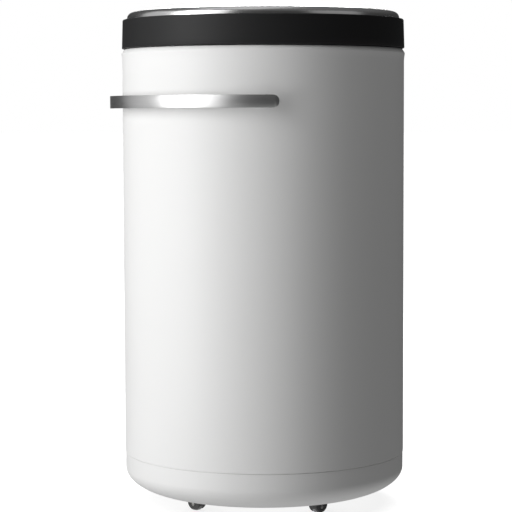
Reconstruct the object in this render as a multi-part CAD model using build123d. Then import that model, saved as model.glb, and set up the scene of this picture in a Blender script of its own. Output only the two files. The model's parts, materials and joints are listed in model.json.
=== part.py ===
"""A free-standing spin dryer for clothes, built as the loose pieces that it comes apart into.

Millimetres. +Z is up, the origin is on the floor under the drum's axis, and the front, where the
handle is, looks along -Y. A round sheet-steel casing stands on a moulded base pan with four small
castors. Inside, a perforated drum spins in a fixed water tub, driven straight by a motor that
floats on three springs. The lid turns on a hinge at the back, and opening it lets a plunger rise,
which cuts the motor and pulls the brake on. A pump lifts the water to an outlet at the back.
"""

from build123d import *
from math import cos, degrees, hypot, radians, sin, sqrt
import os

# ---- Outside ---------------------------------------------------------------------------------
casing_radius = 173.0
casing_wall = 1.2
casing_height = 489.8  # from the base seam up to the widest line of the rolled lip
lip_flare = 1.0
lip_flare_height = 9.0
lip_chamfer_width = 3.2
lip_chamfer_height = 5.1
lip_flange_width = 6.0

ground_clearance = 15.0
base_height = 49.6
base_wall = 3.0
base_step = 0.6  # the pan is this much slimmer than the casing
base_corner_width = 60.0
base_corner_height = 30.0
base_spigot_height = 11.0
slide_fit = 0.2  # gap between pieces that slide together once

lid_gap = 1.5
collar_height = 35.0
collar_wall = 3.0
collar_taper = 1.0
collar_edge_round = 1.4
collar_ledge_width = 14.0
collar_top_thickness = 2.6
dome_inset = 6.5  # from the collar's widest line in to the dome's skirt
dome_wall = 1.2
dome_shoulder_round = 7.5
dome_crown_radius = 900.0
dome_stand_proud = 1.6  # straight skirt that shows above the collar

handle_height = 15.0
handle_thickness = 3.0
handle_gap = 12.4
handle_half_span = 50.6  # degrees each side of the front
handle_top_below_lip = 50.9
handle_post_radius = 5.5
handle_post_inset = 16.0  # from the tip, along the strip
handle_screw_radius = 2.0
handle_screw_head_radius = 4.2
handle_screw_head_height = 3.0

# ---- Castors ---------------------------------------------------------------------------------
castor_inset = 69.0  # from the casing's radius in to the swivel axis
castor_trail = 12.4
wheel_radius = 8.0
wheel_width = 6.5
hood_cover = 1.6  # hood's radius beyond the wheel's
hood_width = 11.0
hood_rise = 4.6  # hood's centre above the axle
axle_radius = 1.6
stem_radius = 4.0
stem_length = 13.0
swivel_plate_radius = 9.0
swivel_plate_thickness = 3.0
castor_clearance = 1.2
running_clearance = 0.05
castor_names = {"front": -90.0, "right": 0.0, "rear": 90.0, "left": 180.0}

# ---- Tub and deck ----------------------------------------------------------------------------
tub_gap = 17.0
tub_wall = 2.8
tub_floor_above_carrier = 29.0
chimney_radius = 24.0
chimney_wall = 3.0
chimney_height = 13.0
shaft_seal_wall = 3.0
shaft_seal_lip = 2.5
deck_drop = 5.0  # deck's top face below the casing's rim
deck_wall = 3.0
deck_skirt = 14.0
pillar_radius = 6.0
pillar_inset = 23.0
pillar_angles = (45.0, 135.0, 225.0, 315.0)

# ---- Drum ------------------------------------------------------------------------------------
drum_gap = 10.0
drum_wall = 1.2
drum_floor_above_tub = 24.0
drum_top_below_rim = 44.5
drum_corner_round = 14.0
drum_cone_height = 23.0
drum_cone_radius = 48.0
drum_hub_radius = 22.0
drum_rim_width = 18.0
ring_stand_proud = 18.0
ring_skirt = 18.0
drum_hole_radius = 2.5
drum_hole_columns = 18
drum_hole_rows = 7
nut_radius = 12.0
nut_height = 10.0

# ---- Motor and suspension --------------------------------------------------------------------
suspension_travel = 4.0
motor_bottom_above_pan = 24.0
motor_radius = 58.0
motor_wall = 4.0
bell_height = 18.0
stator_height = 38.0
stator_bore = 33.0
rotor_air_gap = 0.8
slot_count = 12
slot_radius = 3.4
slot_ring_radius = 42.0
winding_width = 14.0
winding_height = 9.0
shaft_radius = 8.0
bearing_radius = 16.0
bearing_width = 10.0
carrier_thickness = 3.0
carrier_disc_radius = 68.0
carrier_arm_width = 32.0
carrier_bolt_radius = 3.0
carrier_bolt_head_radius = 5.0
carrier_bolt_head_height = 3.5
carrier_bolt_ring = 48.0
spring_angles = (20.0, 140.0, 260.0)
spring_ring_radius = 118.0
spring_radius = 11.0
spring_wire_radius = 1.5
spring_turns = 6
spring_seat_above_pan = 40.0
spring_spigot_radius = 8.0

# ---- Brake and interlock ---------------------------------------------------------------------
brake_drum_radius = 40.0
brake_drum_height = 10.0
brake_drum_above_carrier = 5.0
brake_gap = 1.5
lining_thickness = 4.5
lining_angles = (15.0, 45.0)
lever_thickness = 6.0
lever_end_angle = 55.0
lever_pin_radius = 3.0
interlock_angle = 55.0
interlock_size = (9.0, 20.0, 24.0)  # radial, along the wall, high
plunger_radius = 3.0
plunger_travel = 5.0
plunger_lid_gap = 0.3
switch_size = (8.0, 20.0, 12.0)
switch_angle = 45.0
cable_radius = 2.5
cable_bend = 32.0
cable_end_gap = 14.0  # from the lever out to the cable's lower end

# ---- Pump, drain and power -------------------------------------------------------------------
pump_x = -45.0
pump_inset = 50.0  # from the recess floor in to the pump's axis
pump_motor_radius = 20.0
pump_motor_height = 36.0
volute_radius = 27.0
volute_height = 20.0
volute_wall = 2.0
pump_cover_thickness = 3.0
pipe_radius = 9.5
pipe_bore = 7.5
discharge_radius = 8.0
discharge_bore = 6.0
hose_wall = 3.0
hose_lap = 10.0
impeller_radius = 18.0
impeller_height = 10.0
impeller_vanes = 6
recess_width = 100.0
recess_height = 58.0
recess_depth = 22.0
recess_wall = 2.5
recess_flange = 8.0
outlet_flange_radius = 13.0
outlet_bore = 7.0
inlet_x = 24.0
inlet_size = (28.0, 22.0)
inlet_flange_lap = 3.0
inlet_socket = (24.0, 16.5)
inlet_socket_depth = 16.0
pin_size = (2.0, 14.0, 4.0)
pin_spread = 7.0
pin_step = 2.0  # how far the pins stand above or below the inlet's middle
capacitor_radius = 17.5
capacitor_height = 72.0
capacitor_inset = 53.0
capacitor_angle = 225.0
capacitor_seat = 6.0  # its foot above the pan's floor

# ---- Hinge, latch and lid --------------------------------------------------------------------
knuckle_radius = 7.0
hinge_pin_radius = 3.0
hinge_drop = 2.0  # hinge axis below the collar's lower edge
leaf_knuckle_width = 28.0
bracket_knuckle_width = 16.0
knuckle_side_gap = 0.5
hinge_plate_thickness = 3.0
hinge_plate_height = 26.0
hinge_web_height = 22.0
hinge_screw_angle = 7.0
liner_wall = 2.5
liner_gap = 1.0
seal_width = 8.0
seal_inset = 4.0
tongue_size = (16.0, 3.0, 12.0)
tongue_inset = 25.0
tongue_side_gap = 2.5
clip_wall = 1.0
clip_gap = 0.8
lid_screw_angles = (45.0, 135.0, 225.0, 315.0)
lid_screw_inset = 17.0
lid_screw_radius = 2.0
lid_screw_head_radius = 4.0
lid_screw_head_height = 2.0
lid_boss_radius = 5.0

# ---- Levels and radii that follow ------------------------------------------------------------
seam_z = ground_clearance + base_height
lip_z = seam_z + casing_height
casing_top_z = lip_z + lip_chamfer_height
collar_z = casing_top_z + lid_gap
collar_top_z = collar_z + collar_height
pan_floor_z = ground_clearance + base_wall
casing_inner = casing_radius - casing_wall
lip_radius = casing_radius + lip_flare
lip_top_radius = lip_radius - lip_chamfer_width
lip_flange_radius = lip_top_radius - lip_flange_width
pan_radius = casing_radius - base_step
collar_radius = lip_radius - 0.6
dome_radius = collar_radius - dome_inset

handle_outer = casing_radius + handle_gap + handle_thickness
handle_inner = casing_radius + handle_gap
handle_z = lip_z - handle_top_below_lip - handle_height

tub_radius = casing_inner - tub_gap
tub_inner = tub_radius - tub_wall
drum_radius = tub_inner - drum_gap
mouth_radius = drum_radius - drum_rim_width
deck_z = casing_top_z - deck_drop

motor_z = pan_floor_z + motor_bottom_above_pan
stator_z = motor_z + bell_height
upper_bell_z = stator_z + stator_height
carrier_z = upper_bell_z + bell_height
carrier_top_z = carrier_z + carrier_thickness
brake_z = carrier_top_z + brake_drum_above_carrier
tub_z = carrier_top_z + tub_floor_above_carrier
tub_floor_z = tub_z + tub_wall
drum_z = tub_floor_z + drum_floor_above_tub
drum_top_z = casing_top_z - drum_top_below_rim
cone_z = drum_z + drum_cone_height
ring_top_z = drum_top_z + ring_stand_proud
spring_seat_z = pan_floor_z + spring_seat_above_pan

castor_ring = casing_radius - castor_inset
axle_z = wheel_radius
hood_radius = wheel_radius + hood_cover
hood_z = axle_z + hood_rise
fork_top_z = hood_z + hood_radius + 0.4
pocket_z = fork_top_z + castor_clearance
pocket_radius = hypot(castor_trail + hood_radius, hood_width / 2) + castor_clearance
stem_top_z = fork_top_z + stem_length

recess_floor_y = casing_radius - recess_depth
recess_z = tub_z - recess_flange - recess_height / 2 + 2
pump_y = recess_floor_y - pump_inset
volute_z = recess_z - volute_height / 2
discharge_x = pump_x + volute_radius - volute_wall - discharge_radius + 1
lever_inner = brake_drum_radius + brake_gap + lining_thickness
lever_mid = lever_inner + lever_thickness / 2
lever_outer = lever_inner + lever_thickness
interlock_radius = (tub_radius + lip_flange_radius) / 2
cable_radius_at_wall = (tub_radius + casing_inner) / 2
cable_z = brake_z + brake_drum_height / 2

liner_z = collar_z + liner_gap
hinge_y = handle_outer - knuckle_radius
hinge_z = collar_z - hinge_drop
screw_ring = collar_radius - lid_screw_inset
tongue_y = -(lip_top_radius - tongue_inset)


# ---- Small tools -----------------------------------------------------------------------------
def turned(*points):
    """A ring or disc turned about Z from its (radius, height) outline."""
    return revolve(Plane.XZ * make_face(Polyline(*points, close=True)), Axis.Z)


def turned_edges(*edges):
    """The same from lines and arcs that close on themselves."""
    return revolve(Plane.XZ * make_face(Curve() + list(edges)), Axis.Z)


def ring(outer, inner, low, high):
    return turned((inner, low), (outer, low), (outer, high), (inner, high))


def disc(radius, low, high, x=0.0, y=0.0):
    """An upright cylinder between two levels."""
    return Pos(x, y, low) * extrude(Circle(radius), high - low)


def block(low, high):
    """A box between two corners."""
    size = [b - a for a, b in zip(low, high)]
    middle = [(a + b) / 2 for a, b in zip(low, high)]
    return Pos(*middle) * Box(*size)


def rod_y(radius, low, high, x=0.0, z=0.0):
    """A cylinder along Y between two values of y."""
    return Pos(x, low, z) * extrude(Plane.ZX * Circle(radius), high - low)


def rod_x(radius, low, high, y=0.0, z=0.0):
    """A cylinder along X between two values of x."""
    return Pos(low, y, z) * extrude(Plane.YZ * Circle(radius), high - low)


def polar(radius, angle):
    return radius * cos(radians(angle)), radius * sin(radians(angle))


def sector(outer, inner, low, high, start, end):
    """A piece of a ring between two angles, in degrees from +X."""
    face = make_face(
        Curve()
        + [
            Line(polar(inner, start), polar(outer, start)),
            CenterArc((0, 0), outer, start, end - start),
            Line(polar(outer, end), polar(inner, end)),
            CenterArc((0, 0), inner, start, end - start),
        ]
    )
    return Pos(0, 0, low) * extrude(face, high - low)


# ---- Housing ---------------------------------------------------------------------------------
def bowl(radius, corner_width, corner_height, floor_z, top_z):
    """A solid with a flat floor, an elliptical corner and a straight wall up to its top."""
    centre = (radius - corner_width, floor_z + corner_height)
    corner = EllipticalCenterArc(centre, corner_width, corner_height, 270, arc_size=90)
    return turned_edges(
        Line((0, floor_z), (centre[0], floor_z)),
        corner,
        Line((radius, centre[1]), (radius, top_z)),
        Line((radius, top_z), (0, top_z)),
        Line((0, top_z), (0, floor_z)),
    )


def recess_cutter(extra=0.0):
    """The rectangular hole at the back that the connection panel fills."""
    half_width = recess_width / 2 + extra
    half_height = recess_height / 2 + extra
    return block(
        (-half_width, recess_floor_y - recess_wall, recess_z - half_height),
        (half_width, casing_radius + 5, recess_z + half_height),
    )


def handle_post_places():
    angle_inset = degrees(handle_post_inset / handle_outer)
    return (-90 - handle_half_span + angle_inset, -90 + handle_half_span - angle_inset)


def radial_rod(radius, start, end, angle, z):
    """A cylinder that points straight out from the axis at an angle and a level."""
    return Rot(0, 0, angle) * (Pos(start, 0, z) * extrude(Plane.YZ * Circle(radius), end - start))


def make_casing():
    shell = turned(
        (casing_radius, seam_z),
        (casing_radius, lip_z - lip_flare_height),
        (lip_radius, lip_z),
        (lip_top_radius, casing_top_z),
        (lip_flange_radius, casing_top_z),
        (lip_flange_radius, casing_top_z - casing_wall),
        (lip_top_radius - 0.6 * casing_wall, casing_top_z - casing_wall),
        (lip_radius - 1.1 * casing_wall, lip_z - 0.3 * casing_wall),
        (casing_inner, lip_z - lip_flare_height),
        (casing_inner, seam_z),
    )
    shell -= recess_cutter(slide_fit)
    for hole in hinge_screw_rods(handle_screw_radius + 0.1, casing_inner - 8, casing_radius + 2):
        shell -= hole
    z = handle_z + handle_height / 2
    for angle in handle_post_places():
        shell -= radial_rod(handle_screw_radius + 0.1, casing_inner - 2, casing_radius + 2, angle, z)
    return shell


def make_base_pan():
    outer = bowl(pan_radius, base_corner_width, base_corner_height, ground_clearance, seam_z)
    spigot_radius = casing_inner - slide_fit
    inner_radius = spigot_radius - base_wall
    inner_corner = base_corner_width - (pan_radius - inner_radius)
    inner_height = base_corner_height - base_wall
    top_z = seam_z + base_spigot_height
    inner = bowl(inner_radius, inner_corner, inner_height, pan_floor_z, top_z + 1)
    pan = outer + disc(spigot_radius, seam_z - 1, top_z) - inner
    whole = outer + disc(spigot_radius, seam_z - 1, top_z)

    def column(radius, high, x, y):
        """A post that grows out of the pan's floor or corner and ends at a level."""
        post = disc(radius, ground_clearance + 1, min(high, seam_z), x, y) & whole
        if high > seam_z:
            post += disc(radius, seam_z - 1, high, x, y)
        return post

    castor_places = [polar(castor_ring, angle) for angle in castor_names.values()]
    for x, y in castor_places:
        pan += column(pocket_radius + base_wall, pocket_z + base_wall, x, y)
        pan += disc(stem_radius + base_wall, pocket_z, stem_top_z + 1, x, y)
    for angle in spring_angles:
        x, y = polar(spring_ring_radius, angle)
        pan += column(spring_radius + spring_wire_radius, spring_seat_z, x, y)
        pan += disc(spring_spigot_radius, spring_seat_z - 1, spring_seat_z + 6, x, y)
        pan -= disc(spring_spigot_radius - base_wall, pocket_z + 2 * base_wall, spring_seat_z + 7, x, y)
    for angle in pillar_angles:
        pan += column(pillar_radius, tub_z, *polar(casing_radius - pillar_inset, angle))
    cradle_top = volute_z - pump_motor_height + 6
    cradle_radius = pump_motor_radius + slide_fit
    pan += column(cradle_radius + base_wall, cradle_top, pump_x, pump_y)
    pan -= disc(cradle_radius, cradle_top - 6, cradle_top + 1, pump_x, pump_y)
    pan -= disc(cradle_radius - base_wall, pocket_z + 2 * base_wall, cradle_top, pump_x, pump_y)
    x, y = polar(casing_radius - capacitor_inset, capacitor_angle)
    pan += column(capacitor_radius - base_wall, pan_floor_z + capacitor_seat, x, y)
    for x, y in castor_places:
        pan -= disc(pocket_radius, ground_clearance - 1, pocket_z, x, y)
        pan -= disc(stem_radius + running_clearance, pocket_z - 1, stem_top_z + 2, x, y)
    return pan


def make_top_deck():
    outer = casing_inner - slide_fit
    body = turned(
        (mouth_radius, deck_z - deck_skirt),
        (mouth_radius + deck_wall, deck_z - deck_skirt),
        (mouth_radius + deck_wall, deck_z - deck_wall),
        (outer - deck_wall, deck_z - deck_wall),
        (outer - deck_wall, deck_z - deck_skirt),
        (outer, deck_z - deck_skirt),
        (outer, deck_z),
        (mouth_radius, deck_z),
    )
    slot_x = tongue_size[0] / 2 + tongue_side_gap
    slot_y = tongue_size[1] / 2 + tongue_side_gap
    body -= block(
        (-slot_x, tongue_y - slot_y, deck_z - deck_wall - 1),
        (slot_x, tongue_y + slot_y, deck_z + 1),
    )
    x, y = polar(interlock_radius, interlock_angle)
    body -= disc(plunger_radius + 0.3, deck_z - deck_wall - 1, deck_z + 1, x, y)
    return body


def make_water_tub():
    top_z = deck_z - deck_wall
    body = turned(
        (chimney_radius - chimney_wall, tub_z),
        (tub_radius, tub_z),
        (tub_radius, top_z),
        (tub_inner, top_z),
        (tub_inner, tub_floor_z),
        (chimney_radius, tub_floor_z),
        (chimney_radius, tub_floor_z + chimney_height),
        (chimney_radius - chimney_wall, tub_floor_z + chimney_height),
    )
    stub_z = tub_z - 12
    body += disc(pipe_radius, stub_z, tub_z, pump_x, pump_y)
    body -= disc(pipe_bore, stub_z - 1, tub_floor_z + 1, pump_x, pump_y)
    return body


def make_shaft_seal():
    low = tub_floor_z + 2
    high = tub_floor_z + chimney_height
    lip = shaft_radius + 0.3
    outer = chimney_radius - chimney_wall
    inner = outer - shaft_seal_wall
    under_lip = high - shaft_seal_lip
    outline = [(inner, low), (outer, low), (outer, high), (lip, high), (lip, under_lip), (inner, under_lip - 1.5)]
    return turned(*outline)


def make_handle_bar():
    end = degrees(handle_height / 2 / handle_outer)
    first = -90 - handle_half_span + end
    last = -90 + handle_half_span - end
    high = handle_z + handle_height
    bar = sector(handle_outer, handle_inner, handle_z, high, first, last)
    strip = ring(handle_outer, handle_inner, handle_z, high)
    z = handle_z + handle_height / 2
    for angle in (first, last):
        bar += strip & radial_rod(handle_height / 2, handle_inner - 3, handle_outer + 3, angle, z)
    return bar


def make_handle_posts():
    z = handle_z + handle_height / 2
    posts = []
    for angle in handle_post_places():
        post = radial_rod(handle_post_radius, casing_radius - 1, handle_outer, angle, z)
        post &= ring(handle_inner, casing_radius, z - handle_height, z + handle_height)
        post -= radial_rod(handle_screw_radius, casing_radius - 2, handle_inner - 2, angle, z)
        posts.append(post)
    return Compound(posts)


def make_handle_screws():
    z = handle_z + handle_height / 2
    screws = []
    for angle in handle_post_places():
        screw = radial_rod(handle_screw_radius, casing_inner - 1, handle_inner - 2.2, angle, z)
        head_start = casing_inner - handle_screw_head_height
        head = radial_rod(handle_screw_head_radius, head_start, casing_inner + 2, angle, z)
        head &= disc(casing_inner, z - 20, z + 20)
        slot = Rot(0, 0, angle) * block((head_start - 1, -5, z - 0.5), (head_start + 1, 5, z + 0.5))
        screws.append(screw + head - slot)
    return Compound(screws)


# ---- Hinge and latch -------------------------------------------------------------------------
def hinge_hole():
    return hinge_pin_radius + running_clearance


def casing_envelope(extra=0.0):
    """The casing's outside as one solid, for what fits against it."""
    return turned(
        (0, seam_z),
        (casing_radius + extra, seam_z),
        (casing_radius + extra, lip_z - lip_flare_height),
        (lip_radius + extra, lip_z),
        (lip_top_radius + extra, casing_top_z + extra),
        (0, casing_top_z + extra),
    )


def hinge_screw_rods(radius, start, end):
    """Rods on the lines of the two screws that hold the bracket."""
    z = hinge_z - knuckle_radius - 1 - hinge_plate_height / 2 - 2
    return [radial_rod(radius, start, end, 90 + side * hinge_screw_angle, z) for side in (-1, 1)]


def make_hinge_bracket():
    inner_x = leaf_knuckle_width / 2 + knuckle_side_gap
    outer_x = inner_x + bracket_knuckle_width
    plate_top = hinge_z - knuckle_radius - 1
    plate_low = plate_top - hinge_plate_height
    around = ring(casing_radius + hinge_plate_thickness, casing_radius, plate_low, plate_top)
    bracket = around & block((-outer_x, 0, plate_low), (outer_x, casing_radius + 20, plate_top))
    for side in (-1, 1):
        low, high = sorted((side * inner_x, side * outer_x))
        bracket += rod_x(knuckle_radius, low, high, hinge_y, hinge_z)
        bracket += block((low, casing_radius - 20, plate_top - 6), (high, hinge_y, hinge_z))
    bracket -= casing_envelope(0.05)
    bracket -= disc(lip_radius + 0.2, lip_z, collar_z + 30)
    bracket -= rod_x(hinge_pin_radius, -outer_x - 1, outer_x + 1, hinge_y, hinge_z)
    for hole in hinge_screw_rods(handle_screw_radius + 0.1, casing_radius - 2, casing_radius + 8):
        bracket -= hole
    return bracket


def make_hinge_screws():
    outer = casing_radius + hinge_plate_thickness
    shanks = hinge_screw_rods(handle_screw_radius, casing_inner - 6, outer + 1)
    heads = hinge_screw_rods(handle_screw_head_radius, outer, outer + 2)
    return Compound([shank + head for shank, head in zip(shanks, heads)])


def make_hinge_pin():
    reach = leaf_knuckle_width / 2 + knuckle_side_gap + bracket_knuckle_width
    return rod_x(hinge_pin_radius, -reach, reach, hinge_y, hinge_z)


def hinge_knuckle():
    """The lid's middle knuckle, moulded with the collar, with its running bore still to be cut."""
    half = leaf_knuckle_width / 2
    low = collar_z + 1.2
    high = low + hinge_web_height
    knuckle = rod_x(knuckle_radius, -half, half, hinge_y, hinge_z)
    web = block((-half, 0, low), (half, hinge_y, hinge_z + knuckle_radius))
    rib = ring(collar_radius + hinge_plate_thickness, 0, low, high)
    web += rib & block((-half, 0, low), (half, handle_outer, high))
    return knuckle + web - disc(collar_radius - collar_taper - 1, low - 20, high + 20)


def make_latch_clip():
    """A folded spring-steel clip under the deck that grips the lid's moulded tongue."""
    half_x = tongue_size[0] / 2 + 1
    half_gap = tongue_size[1] / 2 + clip_gap
    half_y = half_gap + clip_wall
    high = deck_z - deck_wall
    low = high - 11
    clip = block((-half_x, tongue_y - half_y, low), (half_x, tongue_y + half_y, high))
    slot_low = (-half_x - 1, tongue_y - half_gap, low + clip_wall)
    clip -= block(slot_low, (half_x + 1, tongue_y + half_gap, high + 1))
    return clip


# ---- Lid -------------------------------------------------------------------------------------
def make_lid_collar():
    top_radius = collar_radius - collar_taper
    inner = top_radius - collar_wall
    seat_z = collar_top_z - collar_top_thickness
    seat_radius = dome_radius + slide_fit
    ledge_radius = seat_radius - collar_ledge_width
    ledge_z = seat_z - collar_wall
    edge = collar_edge_round
    body = turned_edges(
        Line((inner, collar_z), (collar_radius - 1, collar_z)),
        Line((collar_radius - 1, collar_z), (collar_radius, collar_z + 1)),
        Line((collar_radius, collar_z + 1), (top_radius, collar_top_z - edge)),
        RadiusArc((top_radius, collar_top_z - edge), (top_radius - edge, collar_top_z), -edge),
        Line((top_radius - edge, collar_top_z), (seat_radius, collar_top_z)),
        Line((seat_radius, collar_top_z), (seat_radius, seat_z)),
        Line((seat_radius, seat_z), (ledge_radius, seat_z)),
        Line((ledge_radius, seat_z), (ledge_radius, ledge_z)),
        Line((ledge_radius, ledge_z), (inner, ledge_z)),
        Line((inner, ledge_z), (inner, collar_z)),
    )
    half = leaf_knuckle_width / 2
    body += hinge_knuckle()
    body -= rod_x(hinge_hole(), -half - 1, half + 1, hinge_y, hinge_z)
    boss_z = liner_z + liner_wall
    for angle in lid_screw_angles:
        x, y = polar(screw_ring, angle)
        body += disc(lid_boss_radius, boss_z, ledge_z + 0.5, x, y)
        body -= disc(lid_screw_radius, boss_z - 1, ledge_z - 4, x, y)
    return body


def dome_outline(radius, low, crown_z, round_radius, crown_radius):
    """Edges of a shallow dome over a straight skirt, from its foot up to the crown."""
    centre_r = radius - round_radius
    sphere_z = crown_z - crown_radius
    gap = crown_radius - round_radius
    centre_z = sphere_z + sqrt(gap**2 - centre_r**2)
    share = crown_radius / gap
    meet = (centre_r * share, sphere_z + (centre_z - sphere_z) * share)
    mid_angle = radians(40)
    shoulder_mid = (centre_r + round_radius * cos(mid_angle), centre_z + round_radius * sin(mid_angle))
    half_r = meet[0] / 2
    crown_mid = (half_r, sphere_z + sqrt(crown_radius**2 - half_r**2))
    return [
        Line((radius, low), (radius, centre_z)),
        ThreePointArc((radius, centre_z), shoulder_mid, meet),
        ThreePointArc(meet, crown_mid, (0, crown_z)),
    ]


def dome_crown_z():
    centre_r = dome_radius - dome_shoulder_round
    gap = dome_crown_radius - dome_shoulder_round
    shoulder_z = collar_top_z + dome_stand_proud
    return shoulder_z - sqrt(gap**2 - centre_r**2) + dome_crown_radius


def make_lid_dome():
    low = collar_top_z - collar_top_thickness
    crown_z = dome_crown_z()
    outside = dome_outline(dome_radius, low, crown_z, dome_shoulder_round, dome_crown_radius)
    inside = dome_outline(
        dome_radius - dome_wall,
        low,
        crown_z - dome_wall,
        dome_shoulder_round - dome_wall,
        dome_crown_radius - dome_wall,
    )
    foot = Line((dome_radius - dome_wall, low), (dome_radius, low))
    top = Line((0, crown_z), (0, crown_z - dome_wall))
    return turned_edges(foot, *outside, top, *inside)


def make_lid_liner():
    outer = collar_radius - collar_taper - collar_wall - slide_fit
    body = disc(outer, liner_z, liner_z + liner_wall)
    body += ring(outer, outer - 2, liner_z, liner_z + 9)
    for angle in lid_screw_angles:
        x, y = polar(screw_ring, angle)
        body -= disc(lid_screw_radius + 0.3, liner_z - 1, liner_z + liner_wall + 1, x, y)
    half_x, half_y = tongue_size[0] / 2, tongue_size[1] / 2
    body += block(
        (-half_x, tongue_y - half_y, liner_z - tongue_size[2]),
        (half_x, tongue_y + half_y, liner_z + 1),
    )
    return body


def make_lid_seal():
    inner = mouth_radius + seal_inset
    mid = inner + seal_width / 2
    low = deck_z + 0.3
    return turned(
        (inner, liner_z),
        (inner, low + 2.5),
        (mid - 1.5, low),
        (mid + 1.5, low),
        (inner + seal_width, low + 2.5),
        (inner + seal_width, liner_z),
    )


def make_lid_screws():
    screws = []
    low = liner_z - lid_screw_head_height
    for angle in lid_screw_angles:
        x, y = polar(screw_ring, angle)
        screw = disc(lid_screw_radius, liner_z, liner_z + 15, x, y)
        screw += disc(lid_screw_head_radius, low, liner_z, x, y)
        cross = block((x - 2.4, y - 0.5, low - 1), (x + 2.4, y + 0.5, low + 1))
        cross += block((x - 0.5, y - 2.4, low - 1), (x + 0.5, y + 2.4, low + 1))
        screws.append(screw - cross)
    return Compound(screws)


# ---- Drum ------------------------------------------------------------------------------------
def make_drum_shell():
    t = drum_wall
    r = drum_radius
    c = drum_corner_round
    cone_foot = drum_cone_radius
    cone_top = drum_hub_radius
    outside = [
        Line((shaft_radius, cone_z), (cone_top, cone_z)),
        Line((cone_top, cone_z), (cone_foot, drum_z)),
        Line((cone_foot, drum_z), (r - c, drum_z)),
        RadiusArc((r - c, drum_z), (r, drum_z + c), c),
        Line((r, drum_z + c), (r, drum_top_z)),
        Line((r, drum_top_z), (r - t, drum_top_z)),
        Line((r - t, drum_top_z), (r - t, drum_z + c)),
        RadiusArc((r - t, drum_z + c), (r - c, drum_z + t), -(c - t)),
        Line((r - c, drum_z + t), (cone_foot + 0.4 * t, drum_z + t)),
        Line((cone_foot + 0.4 * t, drum_z + t), (cone_top + 0.4 * t, cone_z + t)),
        Line((cone_top + 0.4 * t, cone_z + t), (shaft_radius, cone_z + t)),
        Line((shaft_radius, cone_z + t), (shaft_radius, cone_z)),
    ]
    shell = turned_edges(*outside)
    low = drum_z + c + 14
    high = drum_top_z - ring_skirt - 14
    pitch = (high - low) / (drum_hole_rows - 1)
    holes = []
    for row in range(drum_hole_rows):
        for column in range(drum_hole_columns):
            turn = 360 / drum_hole_columns * (column + 0.5 * (row % 2))
            holes.append(radial_rod(drum_hole_radius, r - 4, r + 3, turn, low + row * pitch))
    return shell.cut(*holes)


def make_drum_hub():
    low = tub_floor_z + chimney_height + suspension_travel + 2
    return turned(
        (shaft_radius, low),
        (drum_hub_radius + 6, low),
        (drum_cone_radius, drum_z),
        (drum_hub_radius, cone_z),
        (shaft_radius, cone_z),
    )


def make_balance_ring():
    outer = drum_radius + 0.8
    skirt = drum_radius - drum_wall - 0.1
    return turned(
        (mouth_radius, drum_top_z - ring_skirt),
        (skirt, drum_top_z - ring_skirt),
        (skirt, drum_top_z),
        (outer, drum_top_z),
        (outer, ring_top_z - 4),
        (outer - 4, ring_top_z),
        (mouth_radius + 3, ring_top_z),
        (mouth_radius, ring_top_z - 3),
    )


def make_drive_shaft():
    return disc(shaft_radius, motor_z - 2, cone_z + drum_wall + nut_height + 2)


def make_drum_nut():
    low = cone_z + drum_wall
    nut = Pos(0, 0, low) * extrude(RegularPolygon(nut_radius, 6), nut_height)
    nut += disc(nut_radius + 3, low, low + 2)
    return nut - disc(shaft_radius, low - 1, low + nut_height + 1)


def make_rotor_core():
    return ring(stator_bore - rotor_air_gap, shaft_radius, stator_z - 1, upper_bell_z + 1)


def make_brake_drum():
    high = brake_z + brake_drum_height
    return turned(
        (shaft_radius, brake_z),
        (shaft_radius + 7, brake_z),
        (shaft_radius + 7, high - 4),
        (brake_drum_radius - 5, high - 4),
        (brake_drum_radius - 5, brake_z),
        (brake_drum_radius, brake_z),
        (brake_drum_radius, high),
        (shaft_radius, high),
    )


# ---- Motor and its carriage ------------------------------------------------------------------
def bell(flip):
    """A motor end bell with a bearing seat. Its closed end is at its own z = 0."""
    seat = bearing_radius
    inner = motor_radius - motor_wall
    seat_floor = motor_wall
    body = turned(
        (shaft_radius + 1, 0),
        (motor_radius - 3, 0),
        (motor_radius, 3),
        (motor_radius, bell_height),
        (inner, bell_height),
        (inner, motor_wall),
        (seat + 4, motor_wall),
        (seat + 4, seat_floor + bearing_width),
        (seat, seat_floor + bearing_width),
        (seat, seat_floor),
        (shaft_radius + 1, seat_floor),
    )
    for turn in range(0, 360, 45):
        body -= Rot(0, 0, turn + 22.5) * (Pos((seat + 4 + inner) / 2, 0, 0) * Box(14, 8, 3 * motor_wall))
    if flip:
        return Pos(0, 0, carrier_z) * (Rot(180, 0, 0) * body)
    return Pos(0, 0, motor_z) * body


def bolt_places():
    return [polar(carrier_bolt_ring, angle) for angle in (90, 210, 330)]


def make_motor_lower_bell():
    return bell(False)


def make_motor_upper_bell():
    body = bell(True)
    for x, y in bolt_places():
        body += disc(carrier_bolt_radius + 3, carrier_z - 12, carrier_z, x, y)
        body -= disc(carrier_bolt_radius, carrier_z - 11, carrier_z + 1, x, y)
    return body


def slot_places():
    return [polar(slot_ring_radius, 360 / slot_count * k) for k in range(slot_count)]


def make_stator_stack():
    body = ring(motor_radius, stator_bore, stator_z, upper_bell_z)
    for x, y in slot_places():
        body -= disc(slot_radius, stator_z - 1, upper_bell_z + 1, x, y)
    return body


def make_stator_windings():
    inner = slot_ring_radius - winding_width / 2
    outer = slot_ring_radius + winding_width / 2 - 2
    body = ring(outer, inner, stator_z - winding_height, stator_z)
    body += ring(outer, inner, upper_bell_z, upper_bell_z + winding_height - 5)
    for x, y in slot_places():
        body += disc(slot_radius - 0.1, stator_z - 1, upper_bell_z + 1, x, y)
    return body


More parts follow.
